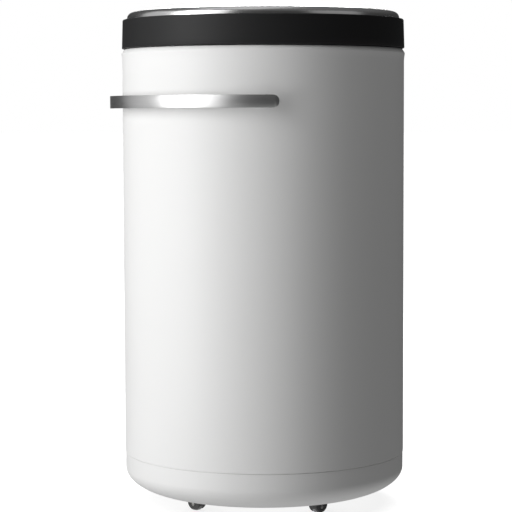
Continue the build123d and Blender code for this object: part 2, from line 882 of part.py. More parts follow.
def make_motor_bearings():
    bore = shaft_radius + running_clearance
    lower_z = motor_z + motor_wall
    upper_z = carrier_z - motor_wall - bearing_width
    return Compound([ring(bearing_radius, bore, z, z + bearing_width) for z in (lower_z, upper_z)])


def make_motor_carrier():
    plate = disc(carrier_disc_radius, carrier_z, carrier_top_z)
    reach = spring_ring_radius + spring_radius + 4
    for angle in spring_angles:
        half = carrier_arm_width / 2
        arm = block((0, -half, carrier_z), (reach, half, carrier_top_z))
        arm += block((carrier_disc_radius - 8, half - 3, carrier_z), (reach, half, carrier_top_z + 6))
        arm += block((carrier_disc_radius - 8, -half, carrier_z), (reach, 3 - half, carrier_top_z + 6))
        plate += Rot(0, 0, angle) * arm
    plate -= disc(shaft_radius + 2, carrier_z - 1, carrier_top_z + 1)
    plate -= ring(lever_outer + 3, lever_inner - 6, carrier_top_z, carrier_top_z + 20)
    for x, y in bolt_places():
        plate -= disc(carrier_bolt_radius + 0.1, carrier_z - 1, carrier_top_z + 1, x, y)
    return plate


def make_carrier_bolts():
    bolts = []
    for x, y in bolt_places():
        bolt = disc(carrier_bolt_radius, carrier_z - 10, carrier_top_z, x, y)
        head = Pos(x, y, carrier_top_z) * extrude(
            RegularPolygon(carrier_bolt_head_radius, 6), carrier_bolt_head_height
        )
        bolts.append(bolt + head)
    return Compound(bolts)


def make_brake_pivot():
    pin = disc(lever_pin_radius, carrier_top_z, brake_z + brake_drum_height + 1.5, lever_mid, 0)
    return pin + disc(lever_pin_radius + 2.5, carrier_top_z, brake_z, lever_mid, 0)


def make_suspension_springs():
    low = spring_seat_z + spring_wire_radius
    height = carrier_z - spring_seat_z - 2 * spring_wire_radius - 0.2
    pitch = height / spring_turns
    springs = []
    for angle in spring_angles:
        x, y = polar(spring_ring_radius, angle)
        path = Helix(pitch, height, spring_radius)
        start = Plane(path @ 0, z_dir=path % 0)
        coil = sweep(start * Circle(spring_wire_radius), path=path, is_frenet=True)
        springs.append(Pos(x, y, low) * coil)
    return Compound(springs)


# ---- Brake lever and interlock ---------------------------------------------------------------
def make_brake_lever():
    low = brake_z + 1
    high = brake_z + brake_drum_height - 1
    lever = sector(lever_outer, lever_inner, low, high, 0, lever_end_angle)
    lever += disc(lever_thickness / 2 + 3, low, high, lever_mid, 0)
    x, y = polar(lever_outer, lever_end_angle - 4)
    lever += disc(4, low, high, x, y)
    lever -= disc(lever_pin_radius + running_clearance, low - 1, high + 1, lever_mid, 0)
    return lever


def make_brake_lining():
    low = brake_z + 1
    high = brake_z + brake_drum_height - 1
    inner = brake_drum_radius + brake_gap
    return sector(lever_inner, inner, low, high, *lining_angles)


def make_interlock_housing():
    radial, along, high = interlock_size
    top = deck_z - deck_wall
    body = block(
        (interlock_radius - radial / 2, -along / 2, top - high),
        (interlock_radius + radial / 2, along / 2, top),
    )
    body -= disc(plunger_radius + 0.3, top - high + 4, top + 1, interlock_radius, 0)
    return Rot(0, 0, interlock_angle) * body


def make_interlock_plunger():
    low = deck_z - deck_wall - interlock_size[2] + 5
    x, y = polar(interlock_radius, interlock_angle)
    return disc(plunger_radius, low, liner_z - plunger_lid_gap, x, y)


def make_lid_switch():
    radial, along, high = switch_size
    top = deck_z - deck_wall
    body = block(
        (interlock_radius - radial / 2, -along / 2, top - high),
        (interlock_radius + radial / 2, along / 2, top),
    )
    for offset in (-6, 0, 6):
        body += block(
            (interlock_radius - 0.4, offset - 1.5, top - high - 6),
            (interlock_radius + 0.4, offset + 1.5, top - high + 1),
        )
    return Rot(0, 0, switch_angle) * body


def make_brake_cable():
    top = deck_z - deck_wall - interlock_size[2]
    wall_radius = cable_radius_at_wall
    end = lever_outer + cable_end_gap
    corners = [(wall_radius, 0, top), (wall_radius, 0, cable_z), (end, 0, cable_z)]
    path = FilletPolyline(*corners, radius=cable_bend)
    cable = sweep(Plane((wall_radius, 0, top), z_dir=(0, 0, -1)) * Circle(cable_radius), path=path)
    return Rot(0, 0, interlock_angle) * cable


# ---- Pump, drain and power -------------------------------------------------------------------
def make_pump_housing():
    cavity = volute_radius - volute_wall
    high = volute_z + volute_height
    body = disc(volute_radius, volute_z, high, pump_x, pump_y)
    body += disc(pump_motor_radius, volute_z - pump_motor_height, volute_z, pump_x, pump_y)
    pipe_end = recess_floor_y - recess_wall - hose_lap - 1
    body += rod_y(discharge_radius, pump_y, pipe_end, discharge_x, recess_z)
    body -= disc(cavity, volute_z + volute_wall, high + 1, pump_x, pump_y)
    body -= rod_y(discharge_bore, pump_y, pipe_end + 1, discharge_x, recess_z)
    return body


def make_pump_cover():
    low = volute_z + volute_height
    high = low + pump_cover_thickness
    body = disc(volute_radius, low, high, pump_x, pump_y)
    body += disc(pipe_radius, high, tub_z - 15, pump_x, pump_y)
    return body - disc(pipe_bore, low - 1, tub_z, pump_x, pump_y)


def make_pump_impeller():
    low = volute_z + volute_wall + 1
    body = disc(impeller_radius, low, low + 2, pump_x, pump_y)
    body += disc(4, low, low + impeller_height, pump_x, pump_y)
    for k in range(impeller_vanes):
        vane = block((3, -0.9, low), (impeller_radius, 0.9, low + impeller_height))
        body += Pos(pump_x, pump_y, 0) * (Rot(0, 0, 360 / impeller_vanes * k) * vane)
    return body


def make_drain_hoses():
    sump = disc(pipe_radius + hose_wall, volute_z + volute_height + 4.5, tub_z - 2, pump_x, pump_y)
    sump -= disc(pipe_radius, volute_z, tub_z, pump_x, pump_y)
    low = pump_y + sqrt(volute_radius**2 - (discharge_x - pump_x) ** 2) + 6
    high = recess_floor_y - recess_wall - 1
    run = rod_y(discharge_radius + hose_wall, low, high, discharge_x, recess_z)
    run -= rod_y(discharge_radius, low - 1, high + 1, discharge_x, recess_z)
    return Compound([sump, run])


def make_drain_outlet():
    tail = recess_floor_y - recess_wall - hose_lap
    body = rod_y(discharge_radius, tail, recess_floor_y, discharge_x, recess_z)
    body += rod_y(outlet_flange_radius, recess_floor_y, recess_floor_y + 2.5, discharge_x, recess_z)
    body += rod_y(pipe_radius, recess_floor_y, handle_outer, discharge_x, recess_z)
    body -= rod_y(discharge_bore, tail - 1, recess_floor_y + 1, discharge_x, recess_z)
    body -= rod_y(outlet_bore, recess_floor_y, handle_outer + 1, discharge_x, recess_z)
    return body


def make_connection_panel():
    outside = casing_inner - slide_fit
    half_width = recess_width / 2
    half_height = recess_height / 2
    tray = recess_cutter() & disc(casing_radius, 0, lip_z)
    flange = ring(outside, outside - recess_wall, seam_z, lip_z) & block(
        (-half_width - recess_flange, 0, recess_z - half_height - recess_flange),
        (half_width + recess_flange, casing_radius + 5, recess_z + half_height + recess_flange),
    )
    hollow = block(
        (-half_width + recess_wall, recess_floor_y, recess_z - half_height + recess_wall),
        (half_width - recess_wall, casing_radius + 6, recess_z + half_height - recess_wall),
    )
    body = tray + flange - hollow
    body -= rod_y(discharge_radius, recess_floor_y - 10, recess_floor_y + 5, discharge_x, recess_z)
    half_x, half_z = inlet_size[0] / 2, inlet_size[1] / 2
    body -= block(
        (inlet_x - half_x, recess_floor_y - 10, recess_z - half_z),
        (inlet_x + half_x, recess_floor_y + 5, recess_z + half_z),
    )
    return body


def make_power_inlet():
    half_x, half_z = inlet_size[0] / 2, inlet_size[1] / 2
    low_y = recess_floor_y - inlet_socket_depth - 3
    face_y = recess_floor_y + 2.5
    corner = (inlet_x - half_x, low_y, recess_z - half_z)
    body = block(corner, (inlet_x + half_x, face_y, recess_z + half_z))
    lap = inlet_flange_lap
    body += block(
        (inlet_x - half_x - lap, recess_floor_y, recess_z - half_z - lap),
        (inlet_x + half_x + lap, face_y, recess_z + half_z + lap),
    )
    sx, sz = inlet_socket[0] / 2, inlet_socket[1] / 2
    body -= block(
        (inlet_x - sx, face_y - inlet_socket_depth, recess_z - sz),
        (inlet_x + sx, face_y + 1, recess_z + sz),
    )
    for x, z in pin_places():
        body -= pin_block(x, z, low_y - 1, face_y)
    return body


def pin_places():
    """The two outer pins sit below the middle one."""
    low = recess_z - pin_step
    return [(inlet_x - pin_spread, low), (inlet_x, recess_z + pin_step), (inlet_x + pin_spread, low)]


def pin_block(x, z, low_y, high_y):
    half_x = pin_size[0] / 2
    half_z = pin_size[2] / 2
    return block((x - half_x, low_y, z - half_z), (x + half_x, high_y, z + half_z))


def make_inlet_pins():
    low_y = recess_floor_y - inlet_socket_depth - 5
    high_y = recess_floor_y + 2.5 - inlet_socket_depth + pin_size[1]
    return Compound([pin_block(x, z, low_y, high_y) for x, z in pin_places()])


def make_capacitor():
    x, y = polar(casing_radius - capacitor_inset, capacitor_angle)
    low = pan_floor_z + capacitor_seat
    body = disc(capacitor_radius, low, low + capacitor_height, x, y)
    for side in (-5, 5):
        foot = (x + side - 0.4, y - 3, low + capacitor_height - 1)
        body += block(foot, (x + side + 0.4, y + 3, low + capacitor_height + 9))
    return body


# ---- Castors ---------------------------------------------------------------------------------
def castor_place(angle):
    """Turns a castor built about the Z axis, trailing along -Y, and puts it on its ring."""
    x, y = polar(castor_ring, angle)
    return Pos(x, y, 0) * Rot(0, 0, angle)


def make_castor_fork(angle):
    half = hood_width / 2
    trail = -castor_trail
    hood = Pos(0, trail, hood_z) * extrude(Plane.YZ * Circle(hood_radius), half, both=True)
    neck = block((-half, trail, hood_z), (half, 4, fork_top_z))
    fork = hood + neck + disc(swivel_plate_radius, fork_top_z - swivel_plate_thickness, fork_top_z)
    gap = wheel_width / 2 + 0.6
    well = Pos(0, trail, axle_z) * extrude(Plane.YZ * Circle(wheel_radius + 0.9), gap, both=True)
    well += block((-gap, trail - wheel_radius - 0.9, -5), (gap, trail + wheel_radius + 0.9, axle_z))
    fork -= well
    fork -= rod_x(axle_radius, -half - 1, half + 1, trail, axle_z)
    fork += disc(stem_radius, fork_top_z, stem_top_z)
    return castor_place(angle) * fork


def make_castor_wheel(angle):
    half = wheel_width / 2
    centre = Pos(0, -castor_trail, axle_z)
    wheel = centre * extrude(Plane.YZ * Circle(wheel_radius), half, both=True)
    for side in (-1, 1):
        dish = Plane.YZ * (Circle(wheel_radius - 2) - Circle(axle_radius + 1.6))
        wheel -= centre * (Pos(side * half, 0, 0) * extrude(dish, 1.2, both=True))
    wheel -= centre * extrude(Plane.YZ * Circle(axle_radius + running_clearance), half + 1, both=True)
    return castor_place(angle) * wheel


def make_castor_axle(angle):
    half = hood_width / 2
    return castor_place(angle) * rod_x(axle_radius, -half - 0.4, half + 0.4, -castor_trail, axle_z)


# ---- Everything ------------------------------------------------------------------------------
makers = {
    "casing": make_casing,
    "base_pan": make_base_pan,
    "top_deck": make_top_deck,
    "water_tub": make_water_tub,
    "shaft_seal": make_shaft_seal,
    "handle_bar": make_handle_bar,
    "handle_posts": make_handle_posts,
    "handle_screws": make_handle_screws,
    "hinge_bracket": make_hinge_bracket,
    "hinge_pin": make_hinge_pin,
    "hinge_screws": make_hinge_screws,
    "latch_clip": make_latch_clip,
    "lid_collar": make_lid_collar,
    "lid_dome": make_lid_dome,
    "lid_liner": make_lid_liner,
    "lid_seal": make_lid_seal,
    "lid_screws": make_lid_screws,
    "drum_shell": make_drum_shell,
    "drum_hub": make_drum_hub,
    "balance_ring": make_balance_ring,
    "drive_shaft": make_drive_shaft,
    "drum_nut": make_drum_nut,
    "rotor_core": make_rotor_core,
    "brake_drum": make_brake_drum,
    "motor_lower_bell": make_motor_lower_bell,
    "motor_upper_bell": make_motor_upper_bell,
    "stator_stack": make_stator_stack,
    "stator_windings": make_stator_windings,
    "motor_bearings": make_motor_bearings,
    "motor_carrier": make_motor_carrier,
    "carrier_bolts": make_carrier_bolts,
    "brake_pivot": make_brake_pivot,
    "suspension_springs": make_suspension_springs,
    "brake_lever": make_brake_lever,
    "brake_lining": make_brake_lining,
    "interlock_housing": make_interlock_housing,
    "interlock_plunger": make_interlock_plunger,
    "lid_switch": make_lid_switch,
    "brake_cable": make_brake_cable,
    "pump_housing": make_pump_housing,
    "pump_cover": make_pump_cover,
    "pump_impeller": make_pump_impeller,
    "drain_hoses": make_drain_hoses,
    "drain_outlet": make_drain_outlet,
    "connection_panel": make_connection_panel,
    "power_inlet": make_power_inlet,
    "inlet_pins": make_inlet_pins,
    "capacitor": make_capacitor,
}


def main():
    os.makedirs("parts", exist_ok=True)
    for name, make in makers.items():
        export_step(make(), f"parts/{name}.step")
    for place, angle in castor_names.items():
        export_step(make_castor_fork(angle), f"parts/castor_{place}_fork.step")
        export_step(make_castor_wheel(angle), f"parts/castor_{place}_wheel.step")
        export_step(make_castor_axle(angle), f"parts/castor_{place}_axle.step")


main()
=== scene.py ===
"""A round spin dryer on small castors, with a black-rimmed steel lid and a bent strip handle.

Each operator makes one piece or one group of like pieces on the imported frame. Metres, +Z up, the
origin on the floor under the drum's axis, the handle towards -Y.
"""

import json
from math import asin, cos, degrees, pi, radians, sin, sqrt

import bpy
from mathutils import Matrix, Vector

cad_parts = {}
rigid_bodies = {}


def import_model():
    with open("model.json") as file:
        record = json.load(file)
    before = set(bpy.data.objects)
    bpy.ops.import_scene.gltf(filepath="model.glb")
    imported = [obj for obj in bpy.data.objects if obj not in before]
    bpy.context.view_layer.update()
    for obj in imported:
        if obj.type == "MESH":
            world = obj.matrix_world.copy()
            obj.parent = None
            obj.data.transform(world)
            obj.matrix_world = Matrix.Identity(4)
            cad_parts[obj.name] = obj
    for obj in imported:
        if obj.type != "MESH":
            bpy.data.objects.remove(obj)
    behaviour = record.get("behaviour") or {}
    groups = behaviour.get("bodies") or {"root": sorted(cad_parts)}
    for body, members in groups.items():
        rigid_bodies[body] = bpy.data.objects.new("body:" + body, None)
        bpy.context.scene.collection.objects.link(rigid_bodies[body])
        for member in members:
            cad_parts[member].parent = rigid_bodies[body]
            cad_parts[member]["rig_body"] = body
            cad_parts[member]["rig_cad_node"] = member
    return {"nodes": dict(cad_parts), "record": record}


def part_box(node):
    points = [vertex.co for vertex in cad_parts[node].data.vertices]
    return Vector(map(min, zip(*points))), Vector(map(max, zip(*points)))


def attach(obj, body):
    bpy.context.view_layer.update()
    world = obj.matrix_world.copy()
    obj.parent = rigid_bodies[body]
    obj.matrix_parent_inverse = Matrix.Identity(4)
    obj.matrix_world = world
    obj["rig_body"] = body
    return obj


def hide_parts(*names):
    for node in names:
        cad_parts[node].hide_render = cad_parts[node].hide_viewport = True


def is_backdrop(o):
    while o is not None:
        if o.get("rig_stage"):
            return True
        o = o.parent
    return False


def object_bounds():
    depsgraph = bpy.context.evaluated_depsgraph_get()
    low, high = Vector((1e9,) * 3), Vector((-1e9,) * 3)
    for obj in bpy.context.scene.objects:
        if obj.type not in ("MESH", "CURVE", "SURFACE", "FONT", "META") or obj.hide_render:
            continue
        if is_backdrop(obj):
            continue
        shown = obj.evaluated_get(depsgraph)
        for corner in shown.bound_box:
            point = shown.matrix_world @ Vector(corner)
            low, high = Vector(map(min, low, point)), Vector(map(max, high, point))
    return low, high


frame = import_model()
cad_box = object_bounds()

bl_info = {
    "name": "Spin dryer",
    "version": (1, 0, 0),
    "blender": (4, 5, 0),
    "location": "View3D > Sidebar > Dryer",
    "description": "Builds a round spin dryer piece by piece",
    "category": "Object",
}

RING_STEPS = 240  # round the large turned pieces
FINE_STEPS = 48  # round small pieces
MERGE = 0.00001  # points nearer to each other than this are one
CASTOR_TURNS = {"front": -90, "right": 0, "rear": 90, "left": 180}
CASTOR_PLATE_DROP = 0.013  # from the top of a castor's stem down to its swivel plate


# ---- Where the frame puts things -------------------------------------------------------------
def low(node):
    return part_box(node)[0]


def high(node):
    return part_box(node)[1]


def middle(node):
    return (low(node) + high(node)) / 2


# ---- Sizes and colours a user would change ---------------------------------------------------
def length(name, description, default):
    return bpy.props.FloatProperty(
        name=name, description=description, default=default, min=0.0, unit="LENGTH", precision=5
    )


def colour(name, description, default):
    return bpy.props.FloatVectorProperty(
        name=name, description=description, default=default, size=3, min=0.0, max=1.0, subtype="COLOR"
    )


class DryerSizes(bpy.types.PropertyGroup):
    """Sizes of the pieces that are modelled here. What they fit comes from the frame."""

    lip_flare: length("Lip flare", "How far the lip stands out from the casing", 0.001)
    lip_flare_height: length("Lip flare height", "Height over which the lip flares", 0.009)
    lip_chamfer_width: length("Lip bevel width", "Width of the bevel above the lip", 0.0032)
    lip_chamfer_height: length("Lip bevel height", "Height of the bevel above the lip", 0.0051)
    lip_flange: length("Lip flange", "Width of the flange that turns in at the top", 0.006)
    sheet: length("Sheet", "Thickness of the steel sheet", 0.0012)
    seam_gap: length("Seam", "Height of the fine groove between casing and base", 0.0005)
    pan_step: length("Base step", "How much slimmer the base is than the casing", 0.0006)
    pan_corner_width: length("Base corner width", "Width of the base's rounded corner", 0.060)
    pan_corner_height: length("Base corner height", "Height of the base's rounded corner", 0.030)
    pan_wall: length("Base wall", "Thickness of the moulded base", 0.003)
    collar_wall: length("Collar wall", "Thickness of the lid's collar", 0.003)
    collar_ledge: length("Collar ledge", "Width of the ledge that carries the dome", 0.014)
    collar_lip: length("Collar lip", "Height of the collar's lip round the dome", 0.0026)
    collar_taper: length("Collar taper", "How much the collar narrows to its top", 0.001)
    dome_round: length("Dome shoulder", "Radius of the dome's polished shoulder", 0.0075)
    dome_crown: length("Dome crown", "Radius of the dome's shallow crown", 0.900)
    disc_radius: length("Rayed disc", "Radius of the rayed disc in the dome's middle", 0.1545)
    disc_groove: length("Disc groove", "Depth of the groove round the rayed disc", 0.0005)
    handle_edge: length("Handle edge", "Rounding of the handle's edges", 0.0004)
    hood_radius: length("Castor hood", "Radius of the round hood over a wheel", 0.0104)
    hood_width: length("Castor hood width", "Width of the hood along the axle", 0.013)
    hood_level: length("Castor hood level", "Height of the hood's middle", 0.0114)
    wheel_room: length("Castor slot", "Half the width of the slot for the wheel", 0.0037)
    ray_width: length("Ray width", "Width of a ray engraved in the dome", 0.0005)
    ray_count: bpy.props.IntProperty(name="Rays", description="Rays in the dome", default=120, min=8)


class DryerColours(bpy.types.PropertyGroup):
    """Colours of the finishes."""

    enamel: colour("Enamel", "Powder coat of the casing", (0.86, 0.86, 0.855))
    base: colour("Base", "Moulded plastic of the base", (0.85, 0.85, 0.845))
    collar: colour("Collar", "Plastic of the lid's collar", (0.0135, 0.0135, 0.014))
    steel: colour("Steel", "Stainless steel of dome and handle", (0.62, 0.62, 0.62))
    grey: colour("Grey plastic", "Grey moulded plastic", (0.30, 0.30, 0.30))
    pale: colour("Pale plastic", "Pale moulded plastic of tub and deck", (0.62, 0.63, 0.63))
    rubber: colour("Rubber", "Black rubber", (0.018, 0.018, 0.018))


# ---- Modelling -------------------------------------------------------------------------------
def pick(*objects):
    """Selects only these objects and makes the first one active, in object mode."""
    if bpy.context.object and bpy.context.object.mode != "OBJECT":
        bpy.ops.object.mode_set(mode="OBJECT")
    bpy.ops.object.select_all(action="DESELECT")
    for item in objects:
        item.select_set(True)
    bpy.context.view_layer.objects.active = objects[0] if objects else None


def named(name):
    """Names the active object and its mesh, and puts its place into its mesh."""
    piece = bpy.context.object
    piece.name = name
    piece.data.name = name
    bpy.ops.object.transform_apply(location=True, rotation=True, scale=True)
    return piece


def cleaned(piece, turn_out=True):
    """Merges what touches and turns the faces outwards."""
    pick(piece)
    bpy.ops.object.mode_set(mode="EDIT")
    bpy.ops.mesh.select_all(action="SELECT")
    bpy.ops.mesh.remove_doubles(threshold=MERGE)
    if turn_out:
        bpy.ops.mesh.normals_make_consistent(inside=False)
    bpy.ops.object.mode_set(mode="OBJECT")
    return piece


def lathe(name, *outlines, steps=RING_STEPS):
    """A turned skin: a circle extruded ring by ring along each (radius, height) outline."""
    skins = []
    for outline in outlines:
        pick()
        radius, height = outline[0]
        bpy.ops.mesh.primitive_circle_add(vertices=steps, radius=radius, location=(0, 0, height))
        skin = named(name)
        bpy.ops.object.mode_set(mode="EDIT")
        bpy.ops.mesh.select_all(action="SELECT")
        for next_radius, next_height in outline[1:]:
            step = {"value": (0, 0, next_height - height)}
            bpy.ops.mesh.extrude_edges_move(TRANSFORM_OT_translate=step)
            ratio = next_radius / radius
            bpy.ops.transform.resize(value=(ratio, ratio, 1), center_override=(0, 0, next_height))
            radius, height = next_radius, next_height
        bpy.ops.object.mode_set(mode="OBJECT")
        skins.append(skin)
    pick(*skins)
    if len(skins) > 1:
        bpy.ops.object.join()
    return cleaned(skins[0])


def arc(centre, size, start, end, steps):
    """Points of a circle or an ellipse between two angles in degrees."""
    wide, tall = size
    turns = [radians(start + (end - start) * k / steps) for k in range(steps + 1)]
    return [(centre[0] + wide * cos(t), centre[1] + tall * sin(t)) for t in turns]


def rod(name, radius, start, end, x=0.0, y=0.0, steps=FINE_STEPS):
    """An upright rod between two levels."""
    pick()
    bpy.ops.mesh.primitive_cylinder_add(
        vertices=steps, radius=radius, depth=end - start, location=(x, y, (start + end) / 2)
    )
    return named(name)


def slab(name, start, end):
    """A box between two corners."""
    pick()
    size = [b - a for a, b in zip(start, end)]
    place = [(a + b) / 2 for a, b in zip(start, end)]
    bpy.ops.mesh.primitive_cube_add(size=1, location=place, scale=size)
    return named(name)


def place(piece, turn=(0, 0, 0), move=(0, 0, 0)):
    """Turns a piece about the origin, moves it, and puts that into its mesh."""
    pick(piece)
    piece.rotation_euler = turn
    piece.location = move
    bpy.ops.object.transform_apply(location=True, rotation=True, scale=True)
    return piece


def combine(piece, tool, operation):
    """Joins a tool to a piece, or cuts with it, and removes the tool."""
    pick(piece)
    modifier = piece.modifiers.new("Combine", "BOOLEAN")
    modifier.operation = operation
    modifier.solver = "EXACT"
    modifier.object = tool
    bpy.ops.object.modifier_apply(modifier=modifier.name)
    bpy.data.objects.remove(tool)
    return piece


def edges(piece, width, segments=2, angle=40):
    """Rounds the sharp edges with a bevel."""
    pick(piece)
    modifier = piece.modifiers.new("Edges", "BEVEL")
    modifier.width = width
    modifier.segments = segments
    modifier.limit_method = "ANGLE"
    modifier.angle_limit = radians(angle)
    bpy.ops.object.modifier_apply(modifier=modifier.name)
    return piece


def refined(node, name, width):
    """A merged copy of a frame node with its flat faces made whole and its edges rounded."""
    piece = frame["nodes"][node].copy()
    piece.data = frame["nodes"][node].data.copy()
    piece.parent = None
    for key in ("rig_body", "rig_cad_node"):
        del piece[key]
    bpy.context.scene.collection.objects.link(piece)
    piece.name = name
    piece.data.name = name
    piece.data.materials.clear()
    cleaned(piece, turn_out=False)
    if width:
        bpy.ops.object.mode_set(mode="EDIT")
        bpy.ops.mesh.select_all(action="SELECT")
        bpy.ops.mesh.dissolve_limited(angle_limit=radians(0.5))
        bpy.ops.object.mode_set(mode="OBJECT")
        edges(piece, width)
    return piece


def settle(piece, body, slot, node, angle=32):
    """Gives a finished piece its finish and its body, and hides the frame node that it stands for."""
    pick(piece)
    bpy.ops.object.shade_smooth_by_angle(angle=radians(angle), keep_sharp_edges=False)
    piece.data.materials.clear()
    piece.data.materials.append(finishes[slot])
    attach(piece, body)
    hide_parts(node)


# ---- Finishes --------------------------------------------------------------------------------
class Value:
    """A shader socket that adds a Math node when it is used in arithmetic."""

    def __init__(self, finish, socket):
        self.finish = finish
        self.socket = socket

    def math(self, operation, *values):
        return self.finish.node("ShaderNodeMath", {"operation": operation}, dict(enumerate(values)))

    def __add__(self, other):
        return self.math("ADD", self, other)

    def __sub__(self, other):
        return self.math("SUBTRACT", self, other)

    def __rsub__(self, other):
        return self.math("SUBTRACT", other, self)

    def __mul__(self, other):
        return self.math("MULTIPLY", self, other)

    def __pow__(self, other):
        return self.math("POWER", self, other)

    __radd__ = __add__
    __rmul__ = __mul__

    def fraction(self):
        return self.math("FRACT", self)

    def absolute(self):
        return self.math("ABSOLUTE", self)

    def sine(self):
        return self.math("SINE", self)


class Graph:
    """A node tree that nodes are added to one call at a time."""

    def __init__(self, tree):
        self.tree = tree

    def node(self, kind, settings=None, values=None, output=0):
        """Adds a node, sets it up, fills its sockets and gives back one of its outputs."""
        node = self.tree.nodes.new(kind)
        for key, value in (settings or {}).items():
            if key == "stops":
                self.stops(node.color_ramp, value)
            else:
                setattr(node, key, value)
        for key, value in (values or {}).items():
            self.join(node.inputs[key], value)
        return None if output is None else Value(self, node.outputs[output])

    def stops(self, ramp, stops):
        while len(ramp.elements) < len(stops):
            ramp.elements.new(0.5)
        for element, (position, shade) in zip(ramp.elements, stops):
            element.position = position
            element.color = (*shade, 1.0)

    def join(self, socket, value):
        if isinstance(value, Value):
            self.tree.links.new(value.socket, socket)
        else:
            socket.default_value = value

    def split(self, vector):
        node = self.node("ShaderNodeSeparateXYZ", {}, {0: vector}).socket.node
        return [Value(self, node.outputs[k]) for k in range(3)]

    def fade(self, value, start, end):
        """0 below start and 1 above end, or the other way round where end is the lower."""
        return self.node("ShaderNodeMapRange", {}, {0: value, 1: start, 2: end})


class Finish(Graph):
    """A material that grows out of one Principled shader."""

    def __init__(self, name, colour, roughness, metallic=0.0, **fixed):
        self.material = bpy.data.materials.new(name)
        self.material.use_nodes = True
        super().__init__(self.material.node_tree)
        self.shader = next(n for n in self.tree.nodes if n.type == "BSDF_PRINCIPLED")
        self.set("Base Color", (*colour, 1.0))
        self.set("Roughness", roughness)
        self.set("Metallic", metallic)
        for socket, value in fixed.items():
            self.set(socket.replace("_", " "), value)

    def set(self, name, value):
        self.join(self.shader.inputs[name], value)

    def place(self):
        return self.node("ShaderNodeTexCoord", output="Object")

    def axes(self):
        """X, Y and Z of a point on the piece."""
        return self.split(self.place())

    def point(self, x, y, z):
        return self.node("ShaderNodeCombineXYZ", {}, {0: x, 1: y, 2: z})

    def noise(self, where, scale, detail=2.0, rough=0.5):
        values = {"Vector": where, "Scale": scale, "Detail": detail, "Roughness": rough}
        return self.node("ShaderNodeTexNoise", {}, values)

    def cells(self, where, scale):
        return self.node("ShaderNodeTexVoronoi", {}, {"Vector": where, "Scale": scale})

    def blend(self, factor, first, second):
        first = first if isinstance(first, Value) else (*first, 1.0)
        second = second if isinstance(second, Value) else (*second, 1.0)
        return self.node("ShaderNodeMix", {"data_type": "RGBA"}, {0: factor, 6: first, 7: second}, 2)

    def bump(self, height, strength, distance):
        values = {"Height": height, "Strength": strength, "Distance": distance}
        self.set("Normal", self.node("ShaderNodeBump", {}, values))

    def round_axes(self):
        """Radius from the drum's axis, angle round it and height."""
        x, y, z = self.axes()
        radius = (x * x + y * y) ** 0.5
        return radius, x.math("ARCTAN2", y, x), z


def shade(base, factor):
    return tuple(min(1.0, c * factor) for c in base)


def enamel(colours):
    """Powder coat: orange peel, a little dust low down and a few faint specks."""
    finish = Finish("white_enamel", colours.enamel, 0.5, Coat_Roughness=0.34, IOR=1.42)
    where = finish.place()
    broad = finish.noise(where, 7.0, 3.0)
    peel = finish.noise(where, 360.0, 2.0)
    height = finish.axes()[2]
    dust = finish.fade(height, 0.16, 0.06) * broad
    specks = finish.fade(finish.cells(where, 24.0), 0.020, 0.010) * finish.fade(broad, 0.50, 0.60)
    clean = finish.blend(dust * 0.12, colours.enamel, shade(colours.enamel, 0.80))
    finish.set("Base Color", finish.blend(specks * 0.28, clean, shade(colours.enamel, 0.42)))
    finish.set("Roughness", 0.50 + broad * 0.10 + dust * 0.08)
    finish.set("Coat Weight", 0.12 - dust * 0.1)
    finish.bump(peel, 0.10, 0.0004)
    return finish.material


def moulded(name, base, rough, grain, depth, dust):
    """Moulded plastic: spark-eroded grain, flow marks and scuffs."""
    finish = Finish(name, base, rough, IOR=1.47)
    where = finish.place()
    broad = finish.noise(where, 11.0, 4.0)
    fine = finish.noise(where, grain, 2.0, 0.6)
    scuff = finish.fade(finish.noise(where, 60.0, 5.0, 0.7), 0.60, 0.74)
    tone = finish.blend(broad * dust, base, shade(base, 0.72))
    finish.set("Base Color", finish.blend(scuff * 0.10, tone, shade(base, 1.22)))
    finish.set("Roughness", rough - 0.05 + broad * 0.08 + scuff * 0.10 + fine * 0.04)
    finish.bump(fine, depth, 0.0003)
    return finish.material


def base_plastic(colours):
    """The base's white plastic, greyer towards the floor with painted shade, and duller there with dust.
    """
    finish = Finish("white_plastic", colours.base, 0.38, IOR=1.47)
    where = finish.place()
    broad = finish.noise(where, 10.0, 4.0)
    fine = finish.noise(where, 620.0, 2.0)
    height = finish.axes()[2]
    # dust here greys the colour towards the floor as painted shade of the base's underside, and makes
    # the roughness duller there as real dust
    dust = finish.fade(height, 0.045, 0.012) * (0.4 + broad * 0.6)
    scuff = finish.fade(finish.noise(where, 42.0, 6.0, 0.75), 0.62, 0.76)
    scuff = scuff * finish.fade(height, 0.06, 0.02)
    tone = finish.blend(dust * 0.22, colours.base, shade(colours.base, 0.70))
    finish.set("Base Color", finish.blend(scuff * 0.25, tone, shade(colours.base, 0.55)))
    finish.set("Roughness", 0.46 + broad * 0.08 + dust * 0.12)
    finish.bump(fine, 0.08, 0.0004)
    return finish.material


def collar_plastic(colours, top, bottom):
    """Satin black plastic with a fine grain and edges rubbed a little paler."""
    finish = Finish("black_plastic", colours.collar, 0.5, IOR=1.42, Specular_IOR_Level=0.32)
    where = finish.place()
    broad = finish.noise(where, 9.0, 4.0)
    fine = finish.noise(where, 1100.0, 2.0, 0.6)
    height = finish.axes()[2]
    rubbed = finish.fade(height, top - 0.0016, top) + finish.fade(height, bottom + 0.0012, bottom)
    rubbed = rubbed * finish.fade(finish.noise(where, 55.0, 5.0, 0.7), 0.38, 0.66)
    tone = finish.blend(broad * 0.35, colours.collar, shade(colours.collar, 1.55))
    finish.set("Base Color", finish.blend(rubbed * 0.35, tone, (0.10, 0.10, 0.10)))
    finish.set("Roughness", 0.46 + broad * 0.10 + fine * 0.05 - rubbed * 0.08)
    finish.bump(fine, 0.12, 0.0003)
    return finish.material


